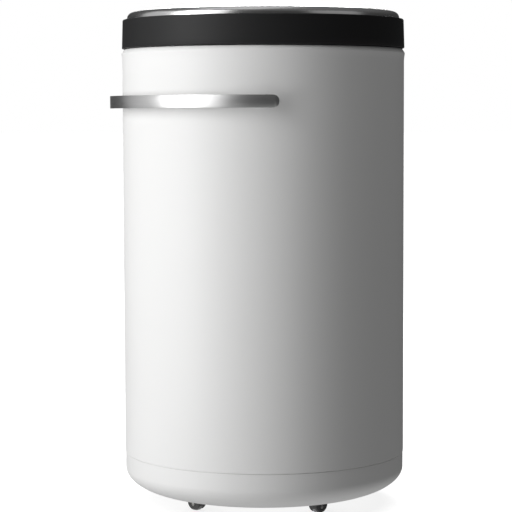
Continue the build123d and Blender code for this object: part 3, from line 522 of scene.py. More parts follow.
def dome_steel(colours, sizes):
    """A polished shoulder round a disc with engraved rays."""
    finish = Finish("dome_steel", colours.steel, 0.2, 1.0)
    radius, angle, _ = finish.round_axes()
    rim = sizes.disc_radius
    share = angle * (sizes.ray_count / (2 * pi)) + 0.5
    from_line = (share.fraction() - 0.5).absolute()
    away = from_line * radius * (2 * pi / sizes.ray_count)
    disc = finish.fade(radius, rim, rim - 0.0006)
    inside = disc * finish.fade(radius, 0.006, 0.012) * finish.fade(radius, rim - 0.002, rim - 0.004)
    ray = finish.fade(away, sizes.ray_width, sizes.ray_width * 0.45) * inside
    hairline = finish.noise(finish.point(radius * 2600.0, angle * 1.5, 0.0), 1.0, 3.0, 0.6)
    cross = finish.noise(finish.point(radius * 14.0, angle * 210.0, 0.0), 1.0, 3.0, 0.7)
    broad = finish.noise(finish.place(), 12.0, 4.0)
    smear = finish.fade(finish.noise(finish.place(), 26.0, 5.0, 0.65), 0.52, 0.72)
    dull = finish.blend(cross, shade(colours.steel, 0.62), shade(colours.steel, 0.88))
    ground = finish.blend(disc, shade(colours.steel, 1.12), dull)
    finish.set("Base Color", finish.blend(ray, ground, (0.93, 0.93, 0.93)))
    rough = 0.20 + broad * 0.05 + smear * 0.05 + hairline * 0.04
    finish.set("Roughness", rough + disc * (0.17 + cross * 0.12) - ray * 0.10)
    finish.bump(hairline * (1 - disc) * 0.15 + cross * disc * 0.5 + ray * 1.2, 0.22, 0.0002)
    return finish.material


def strip_steel(colours, low_z, high_z):
    """Steel brushed along the strip, with the edges polished."""
    finish = Finish("handle_steel", colours.steel, 0.26, 1.0)
    radius, angle, height = finish.round_axes()
    grain = finish.noise(finish.point(angle * 5.0, height * 5200.0, radius * 300.0), 1.0, 3.0, 0.65)
    long = finish.noise(finish.point(angle * 2.2, height * 900.0, 0.0), 1.0, 2.0)
    smear = finish.fade(finish.noise(finish.place(), 38.0, 4.0, 0.6), 0.50, 0.72)
    polished = finish.fade(height, high_z - 0.0009, high_z) + finish.fade(height, low_z + 0.0009, low_z)
    tone = finish.blend(grain * 0.6 + long * 0.3, shade(colours.steel, 0.92), shade(colours.steel, 1.22))
    finish.set("Base Color", finish.blend(smear * 0.15, tone, shade(colours.steel, 0.86)))
    finish.set("Roughness", 0.27 + grain * 0.10 + smear * 0.05 - polished * 0.06)
    finish.bump(grain, 0.16, 0.0002)
    return finish.material


def metal(name, base, rough, grain, depth, patch):
    """Bare or plated metal: a fine grain, patches and finger marks."""
    finish = Finish(name, base, rough, 1.0)
    fine = finish.noise(finish.place(), grain, 3.0, 0.6)
    broad = finish.noise(finish.place(), 24.0, 5.0, 0.6)
    tone = finish.blend(broad * patch + fine * 0.2, base, shade(base, 0.66))
    finish.set("Base Color", tone)
    finish.set("Roughness", rough - 0.06 + fine * 0.10 + broad * 0.12)
    finish.bump(fine, depth, 0.0002)
    return finish.material


def drum_sheet(colours):
    """Stainless sheet rolled round the drum, with water marks."""
    finish = Finish("drum_steel", colours.steel, 0.3, 1.0)
    radius, angle, height = finish.round_axes()
    rolled = finish.noise(finish.point(angle * 8.0, height * 900.0, radius * 900.0), 1.0, 3.0, 0.6)
    marks = finish.fade(finish.noise(finish.place(), 30.0, 6.0, 0.7), 0.48, 0.70)
    tone = finish.blend(rolled * 0.5, shade(colours.steel, 1.12), shade(colours.steel, 0.86))
    finish.set("Base Color", finish.blend(marks * 0.25, tone, shade(colours.steel, 0.70)))
    finish.set("Roughness", 0.44 + rolled * 0.10 + marks * 0.10)
    finish.bump(rolled, 0.05, 0.0002)
    return finish.material


def stacked_sheet():
    """Electrical sheets stacked on each other, seen edge on."""
    sheet, varnish = (0.34, 0.35, 0.37), (0.05, 0.05, 0.06)
    sheets_per_metre = 2000.0
    finish = Finish("lamination_steel", (0.30, 0.31, 0.33), 0.45, 1.0)
    height = finish.axes()[2]
    layer = (height * sheets_per_metre).fraction()
    gap = finish.fade(layer, 0.25, 0.10)
    broad = finish.noise(finish.place(), 40.0, 4.0)
    finish.set("Base Color", finish.blend(gap * 0.8 + broad * 0.2, sheet, varnish))
    finish.set("Roughness", 0.38 + broad * 0.2)
    finish.bump(gap * -1.0, 0.4, 0.0002)
    return finish.material


def wound_copper():
    """Varnished wire, turn beside turn."""
    shadow, bright = (0.30, 0.12, 0.05), (0.72, 0.38, 0.20)
    finish = Finish("copper", (0.65, 0.33, 0.17), 0.3, 1.0, Coat_Roughness=0.2)
    radius, angle, _ = finish.round_axes()
    turn = (angle * 24.0).sine()
    wire = (radius * 6000.0).sine() * 0.5 + 0.5
    finish.set("Base Color", finish.blend(wire * 0.6 + turn * 0.1, shadow, bright))
    finish.set("Roughness", 0.26 + wire * 0.14)
    finish.set("Coat Weight", 0.5 + wire * 0.2)
    finish.bump(wire, 0.5, 0.0004)
    return finish.material


def make_finishes():
    """Every finish by its slot in the record."""
    colours = bpy.context.scene.dryer_colours
    sizes = bpy.context.scene.dryer_sizes
    collar_top, collar_foot = high("lid_collar").z, low("lid_liner").z + 0.010
    bar_low, bar_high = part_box("handle_bar")
    # colour, roughness, how fine the grain is, its depth, and how patchy or dusty it looks
    metals = {
        "zinc_steel": ((0.60, 0.60, 0.58), 0.34, 300.0, 0.12, 0.35),
        "spring_steel": ((0.30, 0.30, 0.31), 0.36, 700.0, 0.12, 0.18),
        "cast_alloy": ((0.60, 0.60, 0.60), 0.50, 260.0, 0.35, 0.3),
        "iron_grey": ((0.23, 0.23, 0.24), 0.46, 420.0, 0.3, 0.18),
        "contact_brass": ((0.72, 0.58, 0.30), 0.26, 600.0, 0.12, 0.18),
    }
    plastics = {
        "tub_plastic": (colours.pale, 0.46, 700.0, 0.12, 0.14),
        "rubber_black": (colours.rubber, 0.68, 500.0, 0.25, 0.3),
        "grey_plastic": (colours.grey, 0.48, 800.0, 0.14, 0.12),
        "wheel_grey": ((0.34, 0.34, 0.34), 0.50, 900.0, 0.16, 0.4),
        "castor_dark": ((0.085, 0.085, 0.085), 0.42, 1000.0, 0.14, 0.3),
    }
    return {
        "white_enamel": enamel(colours),
        "white_plastic": base_plastic(colours),
        "black_plastic": collar_plastic(colours, collar_top, collar_foot),
        "dome_steel": dome_steel(colours, sizes),
        "handle_steel": strip_steel(colours, bar_low.z, bar_high.z),
        "drum_steel": drum_sheet(colours),
        "lamination_steel": stacked_sheet(),
        "copper": wound_copper(),
        **{name: metal(name, *look) for name, look in metals.items()},
        **{name: moulded(name, *look) for name, look in plastics.items()},
    }


finishes = {}
slot_of = {part["node"]: part["material_slot"] for part in frame["record"]["subparts"]}


# ---- Operators -------------------------------------------------------------------------------
class DRYER_OT_finishes(bpy.types.Operator):
    """Makes every finish and puts it on the frame nodes that stay in view"""

    bl_idname = "dryer.finishes"
    bl_label = "Finishes"

    def execute(self, context):
        finishes.update(make_finishes())
        for name, node in frame["nodes"].items():
            node.data.materials.clear()
            node.data.materials.append(finishes[slot_of[name]])
        return {"FINISHED"}


class DRYER_OT_casing(bpy.types.Operator):
    """The round steel casing with its rolled lip and the opening at the back"""

    bl_idname = "dryer.casing"
    bl_label = "Casing"

    lip_rise = 0.0006  # the drawn lip reaches this much above the frame's
    panel_margin = 0.0078  # the connection panel's rim, behind the sheet
    hole_depth = 0.03  # how far the cutter for the hole reaches to each side of the sheet

    def execute(self, context):
        sizes = context.scene.dryer_sizes
        seam, top = low("casing").z, high("casing").z + self.lip_rise
        lip_radius = min(high("casing").x, -low("casing").x)
        radius = lip_radius - sizes.lip_flare
        lip = top - sizes.lip_chamfer_height
        neck = lip - sizes.lip_flare_height
        mouth = lip_radius - sizes.lip_chamfer_width
        sheet = sizes.sheet
        gap = sizes.seam_gap
        outline = [
            (radius - sheet, seam),
            (radius - gap, seam),
            (radius - 0.3 * gap, seam + 0.2 * gap),
            (radius, seam + 0.8 * gap),
            (radius, seam + 0.06),
            (radius, (seam + neck) / 2),
            (radius, neck),
            (radius + 0.35 * sizes.lip_flare, lip - 0.55 * sizes.lip_flare_height),
            (lip_radius - 0.0001, lip - 0.0012),
            (lip_radius, lip - 0.0004),
            (lip_radius - 0.0002, lip + 0.0003),
            (mouth + 0.0002, top - 0.0005),
            (mouth - 0.0004, top - 0.0001),
            (mouth - 0.0010, top),
            (mouth - sizes.lip_flange, top),
            (mouth - sizes.lip_flange, top - sheet),
            (mouth - 0.6 * sheet, top - sheet),
            (lip_radius - 1.2 * sheet, lip - 0.3 * sheet),
            (radius - sheet, neck),
            (radius - sheet, seam),
        ]
        casing = lathe("casing_shell", outline)
        panel_low, panel_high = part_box("connection_panel")
        half = (panel_high.x - panel_low.x) / 2 - self.panel_margin
        rise = (panel_high.z - panel_low.z) / 2 - self.panel_margin
        centre = middle("connection_panel").z
        near, far = radius - self.hole_depth, radius + self.hole_depth
        hole = slab("hole", (-half, near, centre - rise), (half, far, centre + rise))
        combine(casing, hole, "DIFFERENCE")
        settle(casing, "housing", "white_enamel", "casing", angle=25)
        return {"FINISHED"}


class DRYER_OT_base(bpy.types.Operator):
    """The moulded base with its round edge, castor wells and inner posts"""

    bl_idname = "dryer.base"
    bl_label = "Base"

    spigot_height = 0.011  # what stands up inside the casing
    spigot_room = 0.0002
    groove_depth = 0.0009  # two fine rings moulded into the underside
    grooves = (0.020, 0.062)  # from the start of the flat underside in to each groove
    well_radius = 0.0239
    well_roof_gap = 0.0012  # above a castor's swivel plate
    boss_radius, bore_radius = 0.007, 0.00405
    post_turns, post_ring, post_radius = (20, 140, 260), 0.118, 0.0125
    peg_radius, peg_height = 0.008, 0.006  # holds the end of a spring
    pillar_turns, pillar_inset, pillar_radius = (45, 135, 225, 315), 0.023, 0.006
    pillar_rise = 0.012  # how far a pillar reaches into the tub's foot

    def ring(self, radius, turn):
        """A place on a circle round the axis."""
        return radius * cos(radians(turn)), radius * sin(radians(turn))

    def put(self, pan, operation, radius, start, end, x, y, steps=32):
        """Adds an upright rod to the pan, or cuts with it."""
        combine(pan, rod("rod", radius, start, end, x, y, steps), operation)

    def execute(self, context):
        sizes = context.scene.dryer_sizes
        seam = low("casing").z
        floor, top = low("base_pan").z, seam + self.spigot_height
        radius = high("base_pan").x
        wall = sizes.pan_wall
        wide, tall = sizes.pan_corner_width, sizes.pan_corner_height
        gap = sizes.seam_gap
        spigot = high("casing").x - sizes.lip_flare - sizes.sheet - self.spigot_room
        inner = spigot - wall
        foot = radius - wide
        grooves = []
        for inset in self.grooves:
            start = foot - inset
            grooves += [(start, floor), (start - 0.0005, floor + self.groove_depth)]
            grooves += [(start - 0.0035, floor + self.groove_depth), (start - 0.004, floor)]
        outside = [
            (inner, top),
            (spigot - 0.0008, top),
            (spigot, top - 0.0008),
            (spigot, seam - gap),
            (radius - gap, seam - gap),
            (radius - 0.3 * gap, seam - 1.2 * gap),
            (radius, seam - 1.8 * gap),
            *arc((foot, floor + tall), (wide, tall), 0, -90, 30),
            *grooves,
            (0.012, floor),
            (0, floor),
        ]
        inner_foot = inner - (wide - (radius - inner))
        inside = [
            (inner, top),
            *arc((inner_foot, floor + tall), (wide - (radius - inner), tall - wall), 0, -90, 20),
            (0.012, floor + wall),
            (0, floor + wall),
        ]
        pan = lathe("base_shell", outside, inside)
        forks = [name for name in frame["nodes"] if name.endswith("_fork")]
        stem_top = high(forks[0]).z
        well_top = stem_top - CASTOR_PLATE_DROP + self.well_roof_gap
        skin = floor + 0.0024  # inside the bottom's thickness, where a post starts
        stems = []
        for fork in forks:
            axle = middle(fork.replace("fork", "axle"))
            distance = max(abs(axle.x), abs(axle.y))
            turn = radians(CASTOR_TURNS[fork.split("_")[1]])
            stems.append((distance * round(cos(turn)), distance * round(sin(turn))))
        for x, y in stems:
            self.put(pan, "UNION", self.well_radius + wall, skin, well_top + wall, x, y, 64)
            self.put(pan, "UNION", self.boss_radius, well_top, stem_top + 0.001, x, y)
        seat = low("suspension_springs").z
        for turn in self.post_turns:
            x, y = self.ring(self.post_ring, turn)
            self.put(pan, "UNION", self.post_radius, skin, seat, x, y)
            self.put(pan, "UNION", self.peg_radius, seat - 0.001, seat + self.peg_height, x, y)
        tub = low("water_tub").z + self.pillar_rise
        for turn in self.pillar_turns:
            x, y = self.ring(radius + sizes.pan_step - self.pillar_inset, turn)
            self.put(pan, "UNION", self.pillar_radius, floor + 0.012, tub, x, y, 24)
        for x, y in stems:
            self.put(pan, "DIFFERENCE", self.well_radius, floor - 0.01, well_top, x, y, 64)
            self.put(pan, "DIFFERENCE", self.bore_radius, well_top - 0.001, stem_top + 0.002, x, y)
        settle(pan, "housing", "white_plastic", "base_pan", angle=25)
        return {"FINISHED"}


class DRYER_OT_collar(bpy.types.Operator):
    """The black collar of the lid with its ledge and hinge knuckle"""

    bl_idname = "dryer.collar"
    bl_label = "Lid collar"

    collar_height = 0.0353
    dome_room = 0.0002
    knuckle_half, knuckle_radius, pin_bore = 0.014, 0.007, 0.00305
    web_foot, web_head = 0.0012, 0.0232  # of the web to the knuckle, above the collar's foot
    rib_depth = 0.0022

    def execute(self, context):
        sizes = context.scene.dryer_sizes
        radius = high("lid_collar").x
        top = high("lid_collar").z
        foot = top - self.collar_height
        brow = radius - sizes.collar_taper
        inner = brow - sizes.collar_wall
        seat = top - sizes.collar_lip
        seat_radius = high("lid_dome").x + self.dome_room
        ledge = seat_radius - sizes.collar_ledge
        under = seat - sizes.collar_wall
        outline = [
            (inner, foot),
            (radius - 0.0016, foot),
            (radius - 0.0009, foot + 0.0002),
            (radius - 0.0003, foot + 0.0006),
            (radius, foot + 0.0013),
            (radius - 0.25 * sizes.collar_taper, foot + 0.009),
            (radius - 0.6 * sizes.collar_taper, foot + 0.021),
            *arc((brow - 0.0014, top - 0.0014), (0.0014, 0.0014), 0, 90, 5),
            (seat_radius + 0.0005, top),
            (seat_radius + 0.0001, top - 0.0002),
            (seat_radius, top - 0.0007),
            (seat_radius, seat),
            (ledge, seat),
            (ledge, under),
            (inner, under),
            (inner, foot),
        ]
        collar = lathe("lid_collar_ring", outline)
        pin = middle("hinge_pin")
        web_low, web_high = foot + self.web_foot, foot + self.web_head
        half, boss = self.knuckle_half, self.knuckle_radius
        knuckle = rod("knuckle", boss, -half, half)
        place(knuckle, (0, pi / 2, 0), (0, pin.y, pin.z))
        web = slab("web", (-half, radius - 0.004, web_low), (half, pin.y, pin.z + boss))
        rib = slab("rib", (-half, radius - 0.004, web_low), (half, radius + self.rib_depth, web_high))
        edges(rib, 0.0008)
        combine(knuckle, web, "UNION")
        combine(knuckle, rib, "UNION")
        bore = rod("bore", self.pin_bore, -half * 2, half * 2)
        place(bore, (0, pi / 2, 0), (0, pin.y, pin.z))
        combine(knuckle, bore, "DIFFERENCE")
        core = rod("core", brow - 0.001, web_low - 0.02, web_high + 0.02, steps=RING_STEPS)
        combine(knuckle, core, "DIFFERENCE")
        edges(knuckle, 0.0004, 2, 50)
        combine(collar, knuckle, "UNION")
        settle(collar, "lid", "black_plastic", "lid_collar", angle=28)
        return {"FINISHED"}


class DRYER_OT_dome(bpy.types.Operator):
    """The steel dome with its polished shoulder and rayed disc"""

    bl_idname = "dryer.dome"
    bl_label = "Lid dome"

    def execute(self, context):
        sizes = context.scene.dryer_sizes
        radius, foot = high("lid_dome").x, low("lid_dome").z
        crown = high("lid_dome").z
        bend = sizes.dome_round
        centre = radius - bend
        ball = crown - sizes.dome_crown

        def rise(r):
            return ball + sqrt(sizes.dome_crown**2 - r**2)

        shoulder = ball + sqrt((sizes.dome_crown - bend) ** 2 - centre**2)
        tilt = 90 - degrees(asin(centre / (sizes.dome_crown - bend)))
        disc = sizes.disc_radius
        groove = sizes.disc_groove
        outside = [
            (radius, foot),
            *arc((centre, shoulder), (bend, bend), 0, tilt, 14),
            (disc + 0.0008, rise(disc + 0.0008)),
            (disc + 0.0003, rise(disc + 0.0003) - 0.5 * groove),
            (disc, rise(disc) - groove),
            (disc - 0.0004, rise(disc - 0.0004) - 0.9 * groove),
            (disc - 0.0008, rise(disc - 0.0008) - 0.3 * groove),
            (disc - 0.0014, rise(disc - 0.0014)),
        ]
        outside += [(r, rise(r)) for r in [disc * k / 24 for k in range(23, 0, -1)]]
        outside += [(0.002, rise(0.002)), (0, crown)]
        wall = sizes.sheet
        inside = [(radius, foot), (radius - wall, foot), (radius - wall, shoulder)]
        inside += [(r, rise(r) - wall) for r in [(centre - 0.002) * k / 8 for k in range(8, 0, -1)]]
        inside += [(0, crown - wall)]
        dome = lathe("lid_dome_skin", outside, inside)
        settle(dome, "lid", "dome_steel", "lid_dome", angle=40)
        return {"FINISHED"}


class DRYER_OT_handle(bpy.types.Operator):
    """The bent strip handle with its round ends and its two posts"""

    bl_idname = "dryer.handle"
    bl_label = "Handle"

    thickness = 0.003
    post_inset = 0.016  # from the strip's end in to a post's middle

    def execute(self, context):
        sizes = context.scene.dryer_sizes
        start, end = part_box("handle_bar")
        outer = -start.y
        inner = outer - self.thickness
        half_height = (end.z - start.z) / 2
        level = (start.z + end.z) / 2
        edge = sizes.handle_edge
        outline = [
            (inner, start.z + edge),
            (inner + edge, start.z),
            (outer - edge, start.z),
            (outer - 0.3 * edge, start.z + 0.3 * edge),
            (outer, start.z + edge),
            (outer, end.z - edge),
            (outer - 0.3 * edge, end.z - 0.3 * edge),
            (outer - edge, end.z),
            (inner + edge, end.z),
            (inner, end.z - edge),
            (inner, start.z + edge),
        ]
        bar = lathe("handle_strip", outline, steps=360)
        reach = degrees(asin(end.x / outer))
        span = reach - degrees(half_height / outer)
        wedge = rod("wedge", outer + 0.05, start.z - 0.01, end.z + 0.01, steps=8)
        pick(wedge)
        bpy.ops.object.mode_set(mode="EDIT")
        for side in (-1, 1):
            turn = radians(-90 + side * span)
            normal = (-side * sin(turn), side * cos(turn), 0)
            bpy.ops.mesh.select_all(action="SELECT")
            bpy.ops.mesh.bisect(plane_co=(0, 0, level), plane_no=normal, clear_outer=True, use_fill=True)
        bpy.ops.object.mode_set(mode="OBJECT")
        for side in (-1, 1):
            turn = radians(-90 + side * span)
            tip = rod("tip", half_height, inner - 0.01, outer + 0.01, steps=64)
            place(tip, (0, pi / 2, turn))
            place(tip, move=(0, 0, level))
            combine(wedge, tip, "UNION")
        combine(bar, wedge, "INTERSECT")
        edges(bar, edge * 0.7, 2, 50)
        settle(bar, "housing", "handle_steel", "handle_bar", angle=30)
        face = high("casing").x - sizes.lip_flare
        inset = degrees(self.post_inset / outer)
        profile = [
            (0.0020, face - 0.0008),
            (0.0064, face - 0.0008),
            (0.0063, face + 0.0008),
            (0.0057, face + 0.0018),
            (0.0054, face + 0.0032),
            (0.0054, inner - 0.0018),
            (0.0058, inner - 0.0006),
            (0.0060, inner + 0.0002),
            (0.0020, inner + 0.0002),
            (0.0020, face - 0.0008),
        ]
        pair = []
        for side in (-1, 1):
            post = lathe("handle_post", profile, steps=FINE_STEPS)
            place(post, (0, pi / 2, radians(-90 + side * (reach - inset))))
            pair.append(place(post, move=(0, 0, level)))
        pick(*pair)
        bpy.ops.object.join()
        pair[0].name = "handle_post_pair"
        settle(pair[0], "housing", "handle_steel", "handle_posts")
        return {"FINISHED"}


class DRYER_OT_castors(bpy.types.Operator):
    """The four swivel castors: one is modelled trailing along -Y and then copied to each place"""

    bl_idname = "dryer.castors"
    bl_label = "Castors"

    plate_radius, plate_thickness = 0.009, 0.003
    stem_radius = 0.004
    arm_half = 0.0045
    slot_half = 0.0089  # half the length of the slot for the wheel
    wheel_play = 0.00005

    def turned(self, name, side, trail, level, steps=72):
        """A piece turned about the axle and alike on both sides, from one side's outline."""
        middle_ring = (side[0][0], 0)
        other = [(r, -h) for r, h in side]
        piece = lathe(name, [middle_ring, *side], [middle_ring, *other], steps=steps)
        return place(piece, (0, pi / 2, 0), (0, -trail, level))

    def hood(self, sizes, trail, plate, top):
        """A round hood over the wheel, a swivel plate and the stem."""
        radius, half, level = sizes.hood_radius, sizes.hood_width / 2, sizes.hood_level
        rim = [(radius, half - 0.0012), (radius - 0.0004, half - 0.0003), (radius - 0.0012, half)]
        dish = [(radius - 0.0030, half), (radius - 0.0034, half - 0.0004), (0.0034, half - 0.0004)]
        hub = [(0.0031, half), (0, half)]
        hood = self.turned("castor_hood", rim + dish + hub, trail, level)
        wide = self.arm_half
        arm = slab("arm", (-wide, -trail, level + 0.004), (wide, 0, plate - 0.0006))
        combine(hood, edges(arm, 0.0006), "UNION")
        disc = rod("disc", self.plate_radius, plate - self.plate_thickness, plate)
        combine(hood, edges(disc, 0.0004), "UNION")
        combine(hood, rod("stem", self.stem_radius, plate - 0.001, top, steps=32), "UNION")
        room, far = sizes.wheel_room, self.slot_half
        slot = slab("slot", (-room, -trail - far, -0.001), (room, far - trail, 0.017))
        return combine(hood, slot, "DIFFERENCE")

    def wheel(self, radius, half, hub, trail, level):
        """A wheel with a rounded tread, a sunk web and a boss."""
        tread = [(radius, half - 0.0013), (radius - 0.0003, half - 0.0004), (radius - 0.0009, half)]
        web = [(radius - 0.0020, half - 0.0002), (radius - 0.0022, half - 0.0012)]
        boss = [(0.0035, half - 0.0012), (0.0034, half - 0.0003), (0.0032, half), (hub, half), (hub, 0)]
        return self.turned("castor_wheel", tread + web + boss, trail, level)

    def axle(self, sizes, radius, trail, level):
        """A pin with a riveted head at each end."""
        end = sizes.hood_width / 2 + 0.0004
        head = [(0.0023, end - 0.0005), (0.0022, end - 0.0001), (0.0015, end)]
        return self.turned("castor_axle", [(radius, end - 0.0006), *head, (0, end)], trail, level, 32)

    def execute(self, context):
        sizes = context.scene.dryer_sizes
        wheel_low, wheel_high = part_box("castor_right_wheel")
        stem_top = high("castor_right_fork").z
        level = (wheel_high.z + wheel_low.z) / 2
        half = (wheel_high.x - wheel_low.x) / 2
        ring = middle("castor_right_wheel").x
        trail = -middle("castor_right_wheel").y
        pin = (high("castor_right_axle").z - low("castor_right_axle").z) / 2
        parts = {
            "fork": self.hood(sizes, trail, stem_top - CASTOR_PLATE_DROP, stem_top),
            "wheel": self.wheel(level - wheel_low.z, half, pin + self.wheel_play, trail, level),
            "axle": self.axle(sizes, pin, trail, level),
        }
        looks = {"fork": "castor_dark", "wheel": "wheel_grey", "axle": "zinc_steel"}
        for spot, turn in CASTOR_TURNS.items():
            move = (ring * cos(radians(turn)), ring * sin(radians(turn)), 0)
            for kind, model in parts.items():
                piece = model.copy()
                piece.data = model.data.copy()
                context.scene.collection.objects.link(piece)
                piece.name = f"{spot}_{model.name}"
                place(piece, (0, 0, radians(turn)), move)
                body = f"wheel_{spot}" if kind == "wheel" else f"castor_{spot}"
                settle(piece, body, looks[kind], f"castor_{spot}_{kind}")
        for model in parts.values():
            bpy.data.objects.remove(model)
        return {"FINISHED"}


class DRYER_OT_fittings(bpy.types.Operator):
    """Hinge, connections, lid lining and drum, with their edges rounded"""

    bl_idname = "dryer.fittings"
    bl_label = "Fittings"

    # how wide each piece's edges are rounded; 0 only merges and smooths the piece
    rounded = {
        "hinge_bracket": 0.0006,
        "hinge_pin": 0.0004,
        "hinge_screws": 0.0004,
        "connection_panel": 0.0007,
        "drain_outlet": 0.0005,
        "power_inlet": 0.0005,
        "inlet_pins": 0.0003,
        "lid_liner": 0.0007,
        "lid_screws": 0.0002,
        "top_deck": 0.0008,
        "balance_ring": 0.0008,
        "drum_nut": 0.0005,
        "drive_shaft": 0.0005,
        "interlock_plunger": 0.0005,
        "latch_clip": 0.0002,
        "water_tub": 0.0006,
        "drum_shell": 0.0,
        "lid_seal": 0.0006,
    }

    def execute(self, context):
        bodies = frame["record"]["behaviour"]["bodies"]
        body_of = {node: body for body, members in bodies.items() for node in members}
        for node, width in self.rounded.items():
            piece = refined(node, f"{node}_piece", width)
            settle(piece, body_of[node], slot_of[node], node)
        return {"FINISHED"}


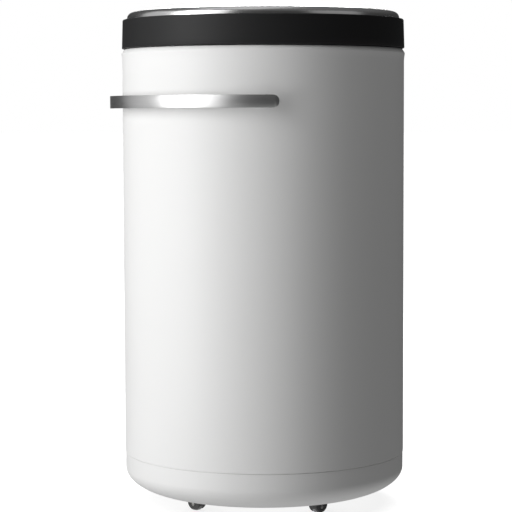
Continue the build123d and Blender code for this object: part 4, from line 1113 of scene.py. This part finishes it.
class DRYER_OT_stage(bpy.types.Operator):
    """Floor, light and camera"""

    bl_idname = "dryer.stage"
    bl_label = "Stage"

    azimuth = 45.0  # where the camera stands, in degrees round from the front
    distance = 2.322
    eye_height = 0.484
    pitch, turn, roll = 4.4, 0.223, 0.19  # degrees downwards, to the left and over
    lens, sensor = 131.9, 36
    middle_aim, lid_aim = (0, 0, 0.33), (0, 0, 0.6)
    # name: direction, height, distance, width and height, watts, what it aims at
    softboxes = {
        "key": (-60, 0.75, 1.9, (0.9, 2.2), 30, middle_aim),
        "key_right": (-38, 0.75, 1.9, (0.6, 2.2), 5.5, middle_aim),
        "key_left": (-98, 0.75, 1.9, (1.3, 2.2), 4.5, middle_aim),
        "top": (-40, 2.3, 0.5, (1.6, 1.6), 4, lid_aim),
        "back": (180, 1.06, 1.8, (0.9, 0.5), 1.6, lid_aim),
        "dome_right": (62, 1.0, 1.8, (1.6, 1.0), 1.3, lid_aim),
        "rear": (180, 1.7, 2.2, (0.8, 0.8), 26, middle_aim),
    }
    dome_only = ("back", "dome_right")
    floor_radius, floor_drop = 40, 0.0002

    def softbox(self, name, direction, lift, distance, size, power, aim):
        """A rectangular light, its direction counted from the camera's and positive to the right."""
        angle = radians(self.azimuth + direction)
        spot = (distance * sin(angle), -distance * cos(angle), lift)
        pick()
        bpy.ops.object.light_add(type="AREA", location=spot)
        light = bpy.context.object
        light.name = name
        light.data.shape = "RECTANGLE"
        light.data.size, light.data.size_y = size
        light.data.energy = power
        gaze = [b - a for a, b in zip(spot, aim)]
        flat = sqrt(gaze[0] ** 2 + gaze[1] ** 2)
        light.rotation_mode = "XYZ"
        tip = asin(gaze[2] / sqrt(flat**2 + gaze[2] ** 2))
        light.rotation_euler = (pi / 2 + tip, 0, angle)
        light.visible_camera = False
        return light

    def only(self, light, piece):
        """The light falls on this piece alone."""
        lit = bpy.data.collections.new(f"{light.name}_falls_on")
        lit.objects.link(piece)
        light.light_linking.receiver_collection = lit

    def backdrop(self, scene):
        """White behind the object, and dim for the light it throws, but brighter from below."""
        world = bpy.data.worlds.new("studio")
        scene.world = world
        world.use_nodes = True
        world.node_tree.nodes.clear()
        sky = Graph(world.node_tree)
        up = sky.split(sky.node("ShaderNodeTexCoord", output="Generated"))[2]
        bounce = sky.fade(up, -0.2, -0.9)
        ceiling = sky.fade(up, 0.2, 0.8)
        glow = 0.045 + ceiling * 0.12 + bounce * 0.62
        white = (1, 1, 1, 1)
        seen = sky.node("ShaderNodeBackground", {}, {"Color": white, "Strength": 1.0})
        fill = sky.node("ShaderNodeBackground", {}, {"Color": white, "Strength": glow})
        direct = sky.node("ShaderNodeLightPath", output="Is Camera Ray")
        both = sky.node("ShaderNodeMixShader", {}, {0: direct, 1: fill, 2: seen})
        sky.node("ShaderNodeOutputWorld", {}, {"Surface": both}, None)

    def execute(self, context):
        scene = context.scene
        scene.view_settings.view_transform = "Standard"
        pick()
        bpy.ops.mesh.primitive_circle_add(
            vertices=96, radius=self.floor_radius, fill_type="NGON", location=(0, 0, -self.floor_drop)
        )
        floor = named("studio_floor")
        paint = Finish("studio_floor", (0.3, 0.3, 0.3), 0.9, Emission_Strength=0.8)
        mottle = paint.noise(paint.place(), 1.2, 2.0)
        paint.set("Base Color", paint.blend(mottle, (0.28, 0.28, 0.28), (0.32, 0.32, 0.32)))
        paint.set("Emission Color", paint.blend(mottle, (0.98, 0.98, 0.98), (1.0, 1.0, 1.0)))
        floor.data.materials.append(paint.material)
        floor.visible_diffuse = False
        floor.visible_glossy = False
        floor.visible_shadow = False
        floor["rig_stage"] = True
        pick()
        bpy.ops.object.light_add(type="SUN", location=(0, 0, 5))
        overhead = context.object
        overhead.name = "floor_light"
        overhead.data.energy = 3.4
        overhead.data.angle = radians(70)
        self.only(overhead, floor)
        for name, setting in self.softboxes.items():
            light = self.softbox(name, *setting)
            if name in self.dome_only:
                self.only(light, bpy.data.objects["lid_dome_skin"])
        self.backdrop(scene)
        angle = radians(self.azimuth)
        spot = (self.distance * sin(angle), -self.distance * cos(angle), self.eye_height)
        pick()
        bpy.ops.object.camera_add(location=spot)
        camera = context.object
        camera.name = "camera"
        tilt = radians(90 - self.pitch)
        camera.rotation_euler = (tilt, radians(self.roll), angle + radians(self.turn))
        camera.data.lens = self.lens
        camera.data.sensor_width = self.sensor
        scene.camera = camera
        return {"FINISHED"}


class DRYER_PT_pieces(bpy.types.Panel):
    """Lists the dryer's pieces, sizes and colours"""

    bl_label = "Dryer"
    bl_idname = "DRYER_PT_pieces"
    bl_space_type = "VIEW_3D"
    bl_region_type = "UI"
    bl_category = "Dryer"

    def draw(self, context):
        column = self.layout.column()
        for operator in operators:
            column.operator(operator.bl_idname)
        for group in (context.scene.dryer_sizes, context.scene.dryer_colours):
            for name in group.bl_rna.properties.keys():
                if name not in ("rna_type", "name"):
                    column.prop(group, name)


operators = [
    DRYER_OT_finishes,
    DRYER_OT_casing,
    DRYER_OT_base,
    DRYER_OT_collar,
    DRYER_OT_dome,
    DRYER_OT_handle,
    DRYER_OT_castors,
    DRYER_OT_fittings,
    DRYER_OT_stage,
]
groups = [DryerSizes, DryerColours]


def register():
    for kind in [*groups, *operators, DRYER_PT_pieces]:
        bpy.utils.register_class(kind)
    bpy.types.Scene.dryer_sizes = bpy.props.PointerProperty(type=DryerSizes)
    bpy.types.Scene.dryer_colours = bpy.props.PointerProperty(type=DryerColours)


def unregister():
    del bpy.types.Scene.dryer_colours
    del bpy.types.Scene.dryer_sizes
    for kind in reversed([*groups, *operators, DRYER_PT_pieces]):
        bpy.utils.unregister_class(kind)


def main():
    register()
    for operator in operators:
        group, name = operator.bl_idname.split(".")
        getattr(getattr(bpy.ops, group), name)()
    boxes = {"cad": cad_box, "visual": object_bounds()}
    boxes = {name: [list(corner) for corner in box] for name, box in boxes.items()}


if __name__ == "__main__":
    main()
